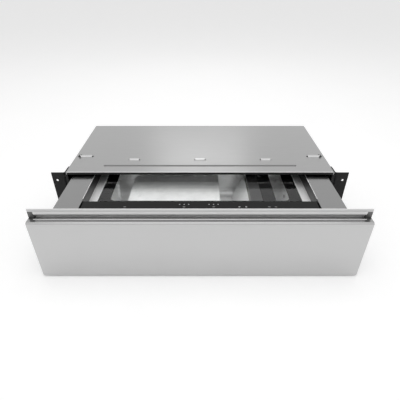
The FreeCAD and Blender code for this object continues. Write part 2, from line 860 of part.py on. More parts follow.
def front_panel():
    """The folded steel face: a shallow tray, open at the back, whose top is the ledge before the grip."""
    body = new_body("front_panel")
    section = sketch_on(body, "panel_section", "YZ_Plane")
    rectangle(section, ("0", "grip_rim"), ("panel_bottom", "ledge_z"))
    solid = pad(body, section, "panel_width", middle=True)
    edge = edges_at(solid, "x", [(None, "0", "ledge_z")])
    solid = fillet(body, solid, edge, "panel_edge")
    shell = body.newObject("PartDesign::Thickness", "panel_shell")
    shell.Base = (solid, faces_at(solid, "y", "grip_rim"))
    shell.Reversed = True
    bind(shell, "Value", "panel_sheet")
    return finish(body, "front_panel", "drawer_front")


def grip_rail():
    """The bent strip above the ledge: an upright lip, then a slope back and down behind the ledge."""
    body = new_body("grip_rail")
    section = sketch_on(body, "slope_section", "YZ_Plane")
    thick = "panel_sheet"
    top = "grip_shoulder + grip_bend"
    outline(section, [
        ("ledge_depth", top), ("ledge_depth", "grip_shoulder"),
        ("grip_back", "grip_back_z"), ("grip_back", "ledge_z - grip_floor"),
        (f"grip_back + {thick}", "ledge_z - grip_floor"), (f"grip_back + {thick}", "grip_back_z + grip_shift"),
        (f"ledge_depth + {thick}", "grip_shoulder + grip_shift"), (f"ledge_depth + {thick}", top),
    ])
    strip = pad(body, section, "2 * grip_half", middle=True)
    strip = fillet(body, strip, edges_at(strip, "x", [(None, "ledge_depth", "grip_shoulder")]), "grip_bend")
    strip = fillet(body, strip, edges_at(strip, "x", [(None, "grip_back", "grip_back_z")]), "grip_corner")
    outer = edges_at(strip, "x", [(None, f"grip_back + {thick}", "grip_back_z + grip_shift")])
    fillet(body, strip, outer, f"grip_corner + {thick}")
    lip = sketch_on(body, "lip_section", "YZ_Plane")
    rectangle(lip, ("ledge_depth", "panel_thickness"), (top, "panel_top"))
    solid = pad(body, lip, "panel_width", middle=True)
    rims = edges_at(solid, "x", [(None, y, "panel_top") for y in ("ledge_depth", "panel_thickness")])
    fillet(body, solid, rims, "lip_edge")
    return finish(body, "grip_rail", "drawer_front")


def grip_floor():
    """The flat strip that closes the grip below."""
    body = new_body("grip_floor")
    plan = sketch_on(body, "grip_floor_plan", "XY_Plane", "ledge_z - grip_floor - panel_sheet")
    rectangle(plan, ("-grip_half", "grip_half"), ("grip_rim", "grip_back + panel_sheet"))
    solid = pad(body, plan, "panel_sheet")
    rear = edges_at(solid, "x", [(None, "grip_back + panel_sheet", "ledge_z - grip_floor - panel_sheet")])
    fillet(body, solid, rear, "panel_sheet * 0.8")
    return finish(body, "grip_floor", "drawer_front")


def grip_caps():
    """The blocks that close the grip's two ends and carry the lip there."""
    body = new_body("grip_cap")
    section = sketch_on(body, "grip_cap_section", "YZ_Plane", "grip_half")
    low = "ledge_z - grip_floor - panel_sheet"
    rear = "grip_back + panel_sheet"
    outline(section, [
        ("grip_rim", low), (rear, low), (rear, "grip_back_z + grip_shift"),
        ("panel_thickness", "grip_shoulder + grip_shift"), ("panel_thickness", "grip_shoulder + grip_bend"),
        ("ledge_depth", "grip_shoulder + grip_bend"), ("ledge_depth", "ledge_z"), ("grip_rim", "ledge_z"),
    ])
    pad(body, section, "grip_end")
    return finish(group("grip_cap_pair", [body, twin("grip_cap_left", body)]), "grip_end_caps", "drawer_front")


PANEL_SCREWS = ["drawer_floor + panel_screw_low", "deck_top - panel_screw_drop"]


def panel_backing():
    """The shallow tray that closes the back of the front panel below the grip."""
    body = new_body("panel_backing")
    section = sketch_on(body, "backing_section", "YZ_Plane")
    rectangle(section, ("grip_rim", "panel_thickness"), ("panel_bottom", "ledge_z - grip_floor - panel_sheet"))
    solid = pad(body, section, "panel_width", middle=True)
    shell = body.newObject("PartDesign::Thickness", "backing_shell")
    shell.Base = (solid, faces_at(solid, "y", "grip_rim"))
    shell.Reversed = True
    bind(shell, "Value", "backing_sheet")
    body.Tip = shell
    holes = sketch_on(body, "backing_holes", "XZ_Plane", "-panel_thickness")
    for z in PANEL_SCREWS:
        for side in ("-", ""):
            circle(holes, (f"{side}(tray_side - frame_tab / 2)", z), "screw_radius + screw_clearance")
    pocket(body, holes, "4 * backing_sheet", middle=True)
    return finish(body, "panel_backing", "drawer_front")


def panel_bumpers():
    """Four rubber pads on the panel's back, which meet the brackets when the drawer is shut."""
    along = ("panel_thickness", "panel_thickness + bumper_thickness")
    pieces = []
    for number, z in enumerate(("panel_bottom + bumper_rise", "ledge_z - bumper_rise")):
        across = centred("bumper_x", "bumper_size")
        pieces.append(block(f"bumper_{number}", across, along, centred(z, "bumper_size")))
    right = group("bumpers_right", pieces)
    both = group("bumpers", [right, twin("bumpers_left", right)])
    return finish(both, "panel_bumpers", "drawer_front")


def side_frame():
    """The plate along the drawer's side, with a tab in front that the panel is screwed to."""
    body = new_body("side_frame")
    plate = sketch_on(body, "frame_outline", "YZ_Plane", "tray_side")
    outline(plate, [
        ("panel_thickness", "drawer_floor"), ("drawer_length", "drawer_floor"),
        ("drawer_length", "strip_top - strip_sheet"), ("tray_front", "strip_top - strip_sheet"),
        ("tray_front", "deck_top"), ("panel_thickness", "deck_top"),
    ])
    pad(body, plate, "frame_sheet")
    tab = sketch_on(body, "frame_tab_outline", "XZ_Plane", "-panel_thickness")
    rectangle(tab, ("tray_side - frame_tab", "tray_side"), ("drawer_floor + 8", "deck_top - 8"))
    pad(body, tab, "frame_sheet", back=True)
    holes = sketch_on(body, "frame_tab_holes", "XZ_Plane", "-panel_thickness")
    for z in PANEL_SCREWS:
        circle(holes, ("tray_side - frame_tab / 2", z), "screw_radius + screw_clearance")
    pocket(body, holes, "4 * frame_sheet", middle=True)
    right = finish(body, "side_frame_right", "drawer_front")
    return mirrored("side_frame_left", right)


def drawer_screws():
    """The screws that hold the front panel to the side frames' tabs."""
    pieces = []
    for number, z in enumerate(PANEL_SCREWS):
        seat = ("tray_side - frame_tab / 2", "panel_thickness + frame_sheet", z)
        pieces.append(screw(f"panel_screw_{number}", "y", seat, "frame_sheet + backing_sheet"))
    right = group("drawer_screws_right", pieces)
    both = group("drawer_screws_all", [right, twin("drawer_screws_left", right)])
    return finish(both, "drawer_screws", "drawer_front")


def side_strip():
    """The steel strip over the drawer's side, folded down to the deck inside and over the edge outside."""
    body = new_body("side_strip")
    section = sketch_on(body, "strip_section", "XZ_Plane", "-control_front")
    outer = "drawer_side + strip_overhang"
    under = "strip_top - strip_sheet"
    outline(section, [
        ("strip_inner", "deck_top"), ("strip_inner + strip_sheet", "deck_top"),
        ("strip_inner + strip_sheet", under), (f"{outer} - strip_sheet", under),
        (f"{outer} - strip_sheet", "strip_top - strip_skirt"), (outer, "strip_top - strip_skirt"),
        (outer, "strip_top"), ("strip_inner", "strip_top"),
    ])
    strip = pad(body, section, "drawer_length - control_front", back=True)
    inner = edges_at(strip, "y", [("strip_inner", None, "strip_top"), (outer, None, "strip_top")])
    fillet(body, strip, inner, "strip_sheet * 0.9")
    notch = sketch_on(body, "strip_notch", "YZ_Plane", "strip_inner")
    rectangle(notch, ("control_front - 1", "tray_front"), ("deck_top - 1", "strip_top - strip_skirt"))
    pocket(body, notch, "4 * strip_sheet", middle=True)
    right = finish(body, "side_strip_right", "drawer_front")
    return mirrored("side_strip_left", right)


def drawer_tray():
    """The sheet tray that carries the pump and the electronics, with vents in its rear wall."""
    body = new_body("drawer_tray")
    plan = sketch_on(body, "tray_plan", "XY_Plane", "drawer_floor")
    rectangle(plan, ("-tray_side", "tray_side"), ("tray_front", "drawer_length"))
    pad(body, plan, "deck_under - drawer_floor")
    inside = sketch_on(body, "tray_inside", "XY_Plane", "deck_under")
    wall = "tray_sheet"
    rectangle(
        inside,
        (f"-tray_side + {wall}", f"tray_side - {wall}"),
        (f"tray_front + {wall}", f"drawer_length - {wall}"),
    )
    pocket(body, inside, "deck_under - drawer_floor - tray_sheet")
    vents = sketch_on(body, "tray_vents", "XZ_Plane", "-drawer_length")
    for side in (-1, 1):
        for row in range(5):
            low = f"tray_vent_bottom + {row} * vent_pitch"
            rectangle(vents, centred(f"{side} * vent_x", "vent_length"), (low, f"{low} + vent_height"))
    pocket(body, vents, "4 * tray_sheet", middle=True)
    return finish(body, "drawer_tray", "drawer_front")


def corners_of(across, along):
    """The four corner places of a plan rectangle, for finding its upright edges."""
    return [(x, y, None) for x in across for y in along]


def vacuum_chamber():
    """The deep-drawn chamber: a rounded tub hanging from a flat deck."""
    body = new_body("vacuum_chamber")
    wall = "chamber_sheet"
    out_x = (f"-chamber_half - {wall}", f"chamber_half + {wall}")
    out_y = (f"chamber_front - {wall}", f"chamber_rear + {wall}")
    tub = sketch_on(body, "tub_plan", "XY_Plane", "deck_under")
    rectangle(tub, out_x, out_y)
    pad(body, tub, "chamber_depth", back=True)
    deck = sketch_on(body, "deck_plan", "XY_Plane", "deck_under")
    rectangle(deck, ("-tray_side", "tray_side"), ("tray_front", "drawer_length"))
    pad(body, deck, wall)
    in_x = ("-chamber_half", "chamber_half")
    in_y = ("chamber_front", "chamber_rear")
    inside = sketch_on(body, "tub_inside", "XY_Plane", "deck_top")
    rectangle(inside, in_x, in_y)
    solid = pocket(body, inside, "chamber_depth")
    solid = fillet(body, solid, edges_at(solid, "z", corners_of(in_x, in_y)), "chamber_corner")
    foot = edges_at(solid, "x", [(None, in_y[0], "chamber_floor")])
    solid = fillet(body, solid, foot, "chamber_foot")
    solid = fillet(body, solid, edges_at(solid, "z", corners_of(out_x, out_y)), f"chamber_corner + {wall}")
    foot = edges_at(solid, "x", [(None, out_y[0], f"chamber_floor - {wall}")])
    chamfer(body, solid, foot, "chamber_outer_foot")
    port = sketch_on(body, "port_hole", "YZ_Plane", "-chamber_half")
    circle(port, ("port_y", "hose_z"), "nozzle_radius + port_gap")
    pocket(body, port, f"4 * {wall}", middle=True)
    vent = sketch_on(body, "vent_hole", "YZ_Plane", "chamber_half")
    circle(vent, ("valve_y", "valve_z"), "nozzle_radius + port_gap")
    pocket(body, vent, f"4 * {wall}", middle=True)
    return finish(body, "vacuum_chamber", "drawer_front")


def chamber_gasket():
    """The silicone ring on the deck round the chamber's mouth, which the lid closes on."""
    body = new_body("chamber_gasket")
    ring = sketch_on(body, "gasket_outer", "XY_Plane", "deck_top")
    out = "gasket_offset + gasket_width"
    out_x = (f"-chamber_half - ({out})", f"chamber_half + {out}")
    out_y = (f"chamber_front - ({out})", f"chamber_rear + {out}")
    rectangle(ring, out_x, out_y)
    pad(body, ring, "lid_under - deck_top - gasket_gap")
    in_x = ("-chamber_half - gasket_offset", "chamber_half + gasket_offset")
    in_y = ("chamber_front - gasket_offset", "chamber_rear + gasket_offset")
    hole = sketch_on(body, "gasket_inner", "XY_Plane", "lid_under")
    rectangle(hole, in_x, in_y)
    solid = pocket(body, hole, "lid_under - deck_top + 1")
    solid = fillet(body, solid, edges_at(solid, "z", corners_of(in_x, in_y)), "chamber_corner + gasket_offset")
    fillet(body, solid, edges_at(solid, "z", corners_of(out_x, out_y)), f"chamber_corner + {out}")
    return finish(body, "chamber_gasket", "drawer_front")


def insert_plate():
    """The thick loose plate in the chamber that takes up room and lifts a bag towards the sealing bar."""
    body = new_body("insert_plate")
    plan = sketch_on(body, "insert_plan", "XY_Plane", "chamber_floor + insert_rise")
    across = ("-insert_left", "insert_right")
    along = ("chamber_front + insert_margin", "chamber_rear - insert_margin")
    rectangle(plan, across, along)
    solid = pad(body, plan, "insert_thickness", back=True)
    corners = [(x, y, None) for x in across for y in along]
    solid = fillet(body, solid, edges_at(solid, "z", corners[:2]), "insert_corner")
    feet = sketch_on(body, "insert_feet", "XY_Plane", "chamber_floor")
    for x in (f"{across[0]} + insert_foot_inset", f"{across[1]} - insert_foot_inset"):
        for y in (f"{along[0]} + insert_foot_inset", f"{along[1]} - insert_foot_inset"):
            rectangle(feet, centred(x, "insert_foot"), centred(y, "insert_foot"))
    solid = pad(body, feet, "insert_rise - insert_thickness")
    top = edges_at(solid, "y", [(across[1], None, "chamber_floor + insert_rise")])
    fillet(body, solid, top, "insert_edge")
    return finish(body, "chamber_insert_plate", "drawer_front")


def bag_ramp():
    """The bent plate that leads a bag's neck from the chamber's floor up to the sealing bar."""
    body = new_body("bag_ramp")
    section = sketch_on(body, "ramp_section", "XZ_Plane", "-seal_y")
    top = "seal_x - seal_width / 2 - ramp_gap"
    high = "seal_top - ramp_drop"
    outline(section, [
        ("ramp_foot - ramp_flange", "chamber_floor"), (f"ramp_foot + ramp_sheet", "chamber_floor"),
        (top, high), (f"({top}) - ramp_sheet", high),
        ("ramp_foot", "chamber_floor + ramp_sheet"), ("ramp_foot - ramp_flange", "chamber_floor + ramp_sheet"),
    ])
    pad(body, section, "seal_length", middle=True)
    return finish(body, "bag_ramp", "drawer_front")


def lift_cylinders():
    """The two cylinders, milled with sixteen flats, on the chamber's floor that raise the sealing bar."""
    pieces = []
    for number, side in enumerate((-1, 1)):
        y = f"seal_y + {side} * lift_spacing / 2"
        foot = ("seal_x", y, "chamber_floor")
        barrel = rod(f"lift_barrel_{number}", "z", "lift_radius", foot, "lift_height", sides=16)
        mouth = ("seal_x", y, "chamber_floor + lift_height - lift_entry - lift_bottom")
        depth = "lift_entry + lift_bottom + 1"
        bore = rod(f"lift_bore_{number}", "z", "lift_rod_radius + lift_running", mouth, depth)
        pieces.append(cut(f"lift_cylinder_{number}", barrel, [bore]))
    return finish(group("lift_cylinder_pair", pieces), "seal_lift_cylinders", "drawer_front")


def suction_port():
    """The plate over the suction hole in the chamber's wall, with the nipple for the pump's hose."""
    body = new_body("suction_port")
    plate = sketch_on(body, "port_plate", "YZ_Plane", "-chamber_half")
    across = ("port_y - port_plate_width / 2", "port_y + port_plate_width / 2")
    up = ("hose_z - port_plate_height / 2", "hose_z + port_plate_height / 2")
    rectangle(plate, across, up)
    solid = pad(body, plate, "port_plate")
    corners = [(None, y, z) for y in across for z in up]
    chamfer(body, solid, edges_at(solid, "x", corners), "port_plate_width / 4")
    slots = sketch_on(body, "port_slots", "YZ_Plane", "-chamber_half + port_plate")
    for row in range(4):
        level = f"{up[0]} + port_slot_start + {row} * port_slot_pitch"
        rectangle(slots, centred("port_y", "port_slot"), centred(level, "port_slot_width"))
    pocket(body, slots, "port_plate / 2", back=False)
    nipple = sketch_on(body, "port_nipple", "YZ_Plane", "-chamber_half")
    circle(nipple, ("port_y", "hose_z"), "nozzle_radius")
    pad(body, nipple, "chamber_sheet + nozzle_length", back=True)
    bore = sketch_on(body, "port_bore", "YZ_Plane", "-chamber_half + port_plate / 2")
    circle(bore, ("port_y", "hose_z"), "nozzle_bore")
    pocket(body, bore, "port_plate + chamber_sheet + 2 * nozzle_length")
    return finish(body, "suction_port", "drawer_front")


def control_strip():
    """The glass of the control strip, the box that carries it and the board inside."""
    glass = block("control_glass_plate", ("-control_half", "control_half"), ("control_front", "control_rear"),
                  ("control_top - control_glass", "control_top"))
    finish(glass, "control_glass", "drawer_front")
    body = new_body("control_housing")
    plan = sketch_on(body, "control_plan", "XY_Plane", "deck_top")
    rectangle(plan, ("-control_half", "control_half"), ("tray_front", "control_rear"))
    pad(body, plan, "control_top - control_glass - deck_top")
    inside = sketch_on(body, "control_inside", "XY_Plane", "control_top - control_glass")
    wall = "control_wall"
    rectangle(inside, (f"-control_half + {wall}", f"control_half - {wall}"),
              (f"tray_front + {wall}", f"control_rear - {wall}"))
    pocket(body, inside, f"control_top - control_glass - deck_top - {wall}")
    posts = sketch_on(body, "control_posts", "XY_Plane", f"deck_top + {wall}")
    for x in ("-control_board_half + 6", "-20", "20", "control_board_half - 6"):
        rectangle(posts, centred(x, "5"), centred("(tray_front + control_rear) / 2", "5"))
    pad(body, posts, f"control_board_z - deck_top - {wall}")
    finish(body, "control_housing", "drawer_front")
    middle = "(tray_front + control_rear) / 2"
    board = block("control_board_plate", ("-control_board_half", "control_board_half"),
                  centred(middle, "control_board_width"), ("control_board_z", "control_board_z + control_board"))
    return finish(board, "control_board", "drawer_front")


def lid_glass():
    """The thick glass lid, one plate with rounded corners."""
    body = new_body("lid_glass")
    plan = sketch_on(body, "lid_plan", "XY_Plane", "lid_under")
    across = ("-lid_width / 2", "lid_width / 2")
    along = ("lid_front", "lid_rear")
    rectangle(plan, across, along)
    solid = pad(body, plan, "lid_thickness")
    fillet(body, solid, edges_at(solid, "z", corners_of(across, along)), "lid_corner")
    return finish(body, "lid_glass", "drawer_front")


def hinge_arms():
    """The two clamps on the lid's rear edge, each with the knuckle that turns on its hinge pin."""
    body = new_body("hinge_arm")
    clamp = sketch_on(body, "arm_section", "YZ_Plane", "hinge_x")
    thick = "hinge_clamp"
    outline(clamp, [
        ("lid_rear - hinge_clamp_length", f"lid_under - {thick}"),
        (f"lid_rear + {thick}", f"lid_under - {thick}"),
        (f"lid_rear + {thick}", f"lid_top + {thick}"), ("lid_rear - hinge_clamp_length", f"lid_top + {thick}"),
        ("lid_rear - hinge_clamp_length", "lid_top"), ("lid_rear", "lid_top"),
        ("lid_rear", "lid_under"), ("lid_rear - hinge_clamp_length", "lid_under"),
    ])
    pad(body, clamp, "hinge_arm_width", middle=True)
    knuckle = sketch_on(body, "arm_knuckle", "YZ_Plane", "hinge_x")
    circle(knuckle, ("hinge_y", "hinge_z"), "hinge_knuckle_radius")
    pad(body, knuckle, "hinge_arm_width", middle=True)
    bore = sketch_on(body, "arm_bore", "YZ_Plane", "hinge_x")
    circle(bore, ("hinge_y", "hinge_z"), "hinge_pin_radius + hinge_running")
    pocket(body, bore, "2 * hinge_arm_width", middle=True)
    both = group("hinge_arm_pair", [body, twin("hinge_arm_left", body)])
    return finish(both, "lid_hinge_arms", "drawer_front")


def hinge_brackets():
    """The two forked brackets on the deck that hold the lid's hinge pins."""
    body = new_body("hinge_bracket")
    ear_x = "hinge_x + hinge_arm_width / 2 + hinge_side_gap"
    base = sketch_on(body, "bracket_base", "YZ_Plane", "hinge_x")
    rectangle(base, centred("hinge_y", "hinge_foot"), ("deck_top", "deck_top + hinge_base"))
    pad(body, base, "hinge_arm_width + 2 * hinge_side_gap + 2 * hinge_ear", middle=True)
    for name, place, back in (("outer", ear_x, False), ("inner", f"2 * hinge_x - ({ear_x})", True)):
        ear = sketch_on(body, f"bracket_ear_{name}", "YZ_Plane", place)
        outline(ear, [
            ("hinge_y - hinge_foot / 2", "deck_top"), ("hinge_y + hinge_foot / 2", "deck_top"),
            ("hinge_y + hinge_foot / 2", "hinge_z"), ("hinge_y + hinge_ear", "hinge_z + hinge_ear"),
            ("hinge_y - hinge_ear", "hinge_z + hinge_ear"), ("hinge_y - hinge_foot / 2", "hinge_z"),
        ])
        pad(body, ear, "hinge_ear", back=back)
    bore = sketch_on(body, "bracket_bore", "YZ_Plane", "hinge_x")
    circle(bore, ("hinge_y", "hinge_z"), "hinge_pin_radius + hinge_fixed")
    pocket(body, bore, "4 * hinge_arm_width", middle=True)
    both = group("hinge_bracket_pair", [body, twin("hinge_bracket_left", body)])
    return finish(both, "lid_hinge_brackets", "drawer_front")


def hinge_pins():
    """The two pins on which the lid turns."""
    length = "hinge_arm_width + 2 * hinge_side_gap + 2 * hinge_ear"
    start = (f"hinge_x - ({length}) / 2", "hinge_y", "hinge_z")
    right = rod("hinge_pin", "x", "hinge_pin_radius", start, length)
    both = group("hinge_pin_pair", [right, twin("hinge_pin_left", right)])
    return finish(both, "lid_hinge_pins", "drawer_front")


def counter_bar():
    """The rubber bar under the lid that the sealing bar presses the bag against."""
    along = centred("seal_y", "counter_length")
    high = ("lid_under - counter_height", "lid_under")
    holder = block("counter_rail", centred("seal_x", "counter_width"), along, high)
    finish(holder, "counter_bar_holder", "drawer_front")
    under = ("lid_under - counter_height - counter_pad_height", "lid_under - counter_height")
    rubber = block("counter_rubber", centred("seal_x", "counter_pad_width"), along, under)
    side = "seal_x + counter_width / 2"
    cushion = block("counter_side_cushion", (side, f"{side} + counter_cushion"), along, high)
    return finish(group("counter_rubbers", [rubber, cushion]), "counter_bar_pad", "drawer_front")


def sealing_bar():
    """The bar that seals the bag, with its heating band, its tape and the rods that raise it."""
    low = "seal_top - seal_height"
    along = centred("seal_y", "seal_length")
    bar = block("sealing_bar_block", centred("seal_x", "seal_width"), along, (low, "seal_top"))
    finish(bar, "sealing_bar", "drawer_front")
    band = block("heating_band_strip", centred("seal_x", "heater_width"), along,
                 ("seal_top", "seal_top + heater_thickness"))
    finish(band, "heating_band", "drawer_front")
    body = new_body("sealing_tape")
    section = sketch_on(body, "tape_section", "XZ_Plane", "-seal_y")
    half = "seal_width / 2"
    over = "seal_top + heater_thickness"
    outline(section, [
        (f"seal_x - {half}", "seal_top - tape_drop"), (f"seal_x - {half}", "seal_top"),
        ("seal_x - heater_width / 2", "seal_top"), ("seal_x - heater_width / 2", over),
        ("seal_x + heater_width / 2", over), ("seal_x + heater_width / 2", "seal_top"),
        (f"seal_x + {half}", "seal_top"), (f"seal_x + {half}", "seal_top - tape_drop"),
        (f"seal_x + {half} + tape_thickness", "seal_top - tape_drop"),
        (f"seal_x + {half} + tape_thickness", "seal_top"),
        ("seal_x + heater_width / 2", f"{over} + tape_thickness"),
        ("seal_x - heater_width / 2", f"{over} + tape_thickness"),
        (f"seal_x - {half} - tape_thickness", "seal_top"),
        (f"seal_x - {half} - tape_thickness", "seal_top - tape_drop"),
    ])
    pad(body, section, "seal_length", middle=True)
    finish(body, "sealing_tape", "drawer_front")
    pieces = []
    for number, side in enumerate((-1, 1)):
        y = f"seal_y + {side} * lift_spacing / 2"
        start = ("seal_x", y, "chamber_floor + lift_height - lift_entry")
        length = f"{low} - (chamber_floor + lift_height - lift_entry)"
        pieces.append(rod(f"lift_rod_{number}", "z", "lift_rod_radius", start, length))
    return finish(group("lift_rod_pair", pieces), "seal_lift_rods", "drawer_front")


def pump_block():
    """The pump's cast body, rounded at its upright edges."""
    across = centred("-pump_x", "pump_block_width")
    along = ("pump_front", "pump_front + pump_block_length")
    body = new_body("pump_block")
    plan = sketch_on(body, "pump_plan", "XY_Plane", "pump_block_bottom")
    rectangle(plan, across, along)
    solid = pad(body, plan, "pump_block_height")
    fillet(body, solid, edges_at(solid, "z", corners_of(across, along)), "pump_rounding")
    return finish(body, "pump_block", "drawer_front")


def pump_head():
    """The finned head on the pump, with the nozzle for the chamber's hose."""
    across = centred("-pump_x", "pump_block_width")
    low = "pump_block_bottom + pump_block_height"
    top = f"{low} + pump_head_height"
    body = new_body("pump_head")
    plan = sketch_on(body, "head_plan", "XY_Plane", low)
    rectangle(plan, across, ("pump_front", "pump_front + pump_block_length"))
    pad(body, plan, "pump_head_height")
    grooves = sketch_on(body, "head_grooves", "XY_Plane", top)
    for row in range(4):
        middle = f"pump_front + 10 + {row} * fin_pitch"
        rectangle(grooves, across, centred(middle, "fin_pitch - pump_fin"))
    pocket(body, grooves, "fin_depth")
    nozzle = sketch_on(body, "head_nozzle", "YZ_Plane", "-pump_x + pump_block_width / 2")
    circle(nozzle, ("port_y", "hose_z"), "nozzle_radius")
    pad(body, nozzle, "nozzle_length")
    return finish(body, "pump_head", "drawer_front")


def pump_motor():
    """The pump's motor, a drum with a bore in its front end for the shaft."""
    start = "pump_front - motor_length"
    drum = rod("motor_drum", "y", "motor_radius", ("-pump_x", start, "pump_z"), "motor_length")
    bore = rod("motor_bore", "y", "motor_shaft_radius + motor_running", ("-pump_x", f"{start} - 1", "pump_z"),
               "motor_shaft_entry + shaft_bottom + 1")
    return finish(cut("motor_body", drum, [bore]), "pump_motor", "drawer_front")


def pump_mounting():
    """The plate under the pump and the four rubber feet it stands on."""
    along = ("pump_front - motor_length", "pump_front + pump_block_length")
    under = "pump_block_bottom - pump_base"
    plate = block("pump_plate", centred("-pump_x", "pump_block_width"), along, (under, "pump_block_bottom"))
    finish(plate, "pump_base", "drawer_front")
    pieces = []
    for side in (-1, 1):
        for number, y in enumerate((f"{along[0]} + isolator_size / 2", f"{along[1]} - isolator_size / 2")):
            x = f"-pump_x + {side} * (pump_block_width - isolator_size) / 2"
            up = ("drawer_floor + tray_sheet", under)
            pieces.append(block(f"isolator_{side + 1}_{number}", centred(x, "isolator_size"),
                                centred(y, "isolator_size"), up))
    return finish(group("isolator_set", pieces), "pump_isolators", "drawer_front")


def vacuum_hose():
    """The short hose from the pump's nozzle to the suction port's nipple."""
    low = "-pump_x + pump_block_width / 2 + hose_gap"
    length = f"-(chamber_half + chamber_sheet + hose_gap) - ({low})"
    outside = rod("hose_outside", "x", "hose_radius", (low, "port_y", "hose_z"), length)
    inside = rod("hose_inside", "x", "hose_bore", (f"{low} - 1", "port_y", "hose_z"), f"{length} + 2")
    return finish(cut("hose", outside, [inside]), "vacuum_hose", "drawer_front")


def motor_rotor():
    """The motor's shaft and the cooling fan on its end, whose blades are one pattern round the hub."""
    face = "pump_front - motor_length"
    reach = "fan_gap + fan_thickness + fan_gap"
    shaft = rod("rotor_shaft", "y", "motor_shaft_radius", ("-pump_x", f"{face} - ({reach})", "pump_z"),
                f"motor_shaft_entry + {reach}")
    finish(shaft, "motor_shaft", "drawer_front")
    body = new_body("motor_fan")
    rear = f"-({face} - fan_gap)"
    hub = sketch_on(body, "fan_hub", "XZ_Plane", rear)
    circle(hub, ("0", "0"), "fan_hub_radius")
    pad(body, hub, "fan_thickness")
    blade = sketch_on(body, "fan_blade_section", "XZ_Plane", rear)
    rectangle(blade, centred("0", "fan_blade"), ("fan_hub_radius - fan_blade", "fan_radius"))
    one = pad(body, blade, "fan_thickness")
    ring = body.newObject("PartDesign::PolarPattern", "fan_blades")
    ring.Originals = [one]
    ring.Axis = (blade, ["N_Axis"])
    ring.Angle = 360
    ring.Occurrences = 7
    body.Tip = ring
    bore = sketch_on(body, "fan_bore", "XZ_Plane", rear)
    circle(bore, ("0", "0"), "motor_shaft_radius + fan_fit")
    pocket(body, bore, "4 * fan_thickness", middle=True)
    finish(body, "motor_fan", "drawer_front")
    bind(body, "Placement.Base.x", "-pump_x")
    bind(body, "Placement.Base.z", "pump_z")
    return body


def power_board():
    """The mains board with its transformer, capacitors, relays and heat sink soldered on."""
    low = "drawer_floor + tray_sheet + board_height"
    top = f"{low} + board_thickness"
    across = centred("board_x", "board_width")
    plate = block("board_plate", across, ("board_front", "board_front + board_length"), (low, top))
    middle = "board_front + transformer_length / 2 + board_margin"
    up = (top, f"{top} + transformer_height")
    core = block("transformer_core", centred("board_x", "transformer_width"),
                 centred(middle, "transformer_length * 0.6"), up)
    winding = block("transformer_winding", centred("board_x", "transformer_width * 0.7"),
                    centred(middle, "transformer_length"), (top, f"{top} + transformer_height * 0.8"))
    pieces = [plate, core, winding]
    for side in (-1, 1):
        x = f"board_x + {side} * board_width / 5"
        y = "board_front + board_length * 0.58"
        pieces.append(rod(f"capacitor_{side + 1}", "z", "capacitor_radius", (x, y, top), "capacitor_height"))
        along = centred("board_front + board_length * 0.8", "relay_size")
        pieces.append(block(f"relay_{side + 1}", centred(x, "relay_size"), along, (top, f"{top} + relay_size")))
    rear = "board_front + board_length - board_margin"
    sink = block("heat_sink", centred("board_x", "board_width * 0.7"), (f"{rear} - board_margin", rear),
                 (top, f"{top} + transformer_height * 0.6"))
    pieces.append(sink)
    finish(fuse("power_board_parts", pieces), "power_board", "drawer_front")
    feet = []
    up = "drawer_floor + tray_sheet"
    for side in (-1, 1):
        for number, y in enumerate(("board_front + board_margin", rear)):
            x = f"board_x + {side} * (board_width / 2 - board_margin)"
            name = f"standoff_{side + 1}_{number}"
            feet.append(rod(name, "z", "board_margin / 2", (x, y, up), "board_height", sides=6))
    return finish(group("standoff_set", feet), "board_standoffs", "drawer_front")


def vent_valve():
    """The valve that lets air back into the chamber, its coil below and its nipple through the wall."""
    inner = "chamber_half + chamber_sheet + hose_gap"
    half = "valve_block / 2"
    cube = block("valve_cube", (inner, f"{inner} + valve_block"), centred("valve_y", "valve_block"),
                 centred("valve_z", "valve_block"))
    coil = rod("valve_coil", "z", "coil_radius", (f"{inner} + {half}", "valve_y", f"valve_z - {half} - coil_length"),
               "coil_length")
    reach = "hose_gap + 2 * chamber_sheet"
    nipple = rod("valve_nipple", "x", "nozzle_radius", (f"{inner} - ({reach})", "valve_y", "valve_z"), reach)
    return finish(fuse("valve_outside", [cube, coil, nipple]), "vent_valve", "drawer_front")


def check_document():
    """Stop if any object failed or any node is empty or not valid."""
    doc.recompute()
    for item in doc.Objects:
        if {"Invalid", "Error"} & set(item.State):
            raise RuntimeError(f"{item.Name} failed: {item.State}")
    for item in NODES:
        if item.Shape.isNull() or not item.Shape.isValid():
            raise RuntimeError(f"{item.Label} has no valid shape")


def export():
    """Write each node's shape to its own STEP file."""
    os.makedirs("parts", exist_ok=True)
    for item in NODES:
        item.Shape.exportStep(f"parts/{item.Label}.step")


fill_sheet()
housing_base()
top_cover()
rear_panel()
power_inlet()
mirrored("mounting_bracket_left", bracket_right())
rails()
ball_strips()
housing_screws()
rear_stops()
front_panel()
grip_rail()
grip_floor()
grip_caps()
panel_backing()
panel_bumpers()
side_frame()
drawer_screws()
side_strip()
drawer_tray()
vacuum_chamber()
chamber_gasket()
insert_plate()
bag_ramp()
lift_cylinders()
suction_port()
control_strip()
lid_glass()
hinge_arms()
hinge_brackets()
hinge_pins()
counter_bar()
sealing_bar()
pump_block()
pump_head()
pump_motor()
pump_mounting()
vacuum_hose()
motor_rotor()
power_board()
vent_valve()
check_document()
export()
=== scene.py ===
import math

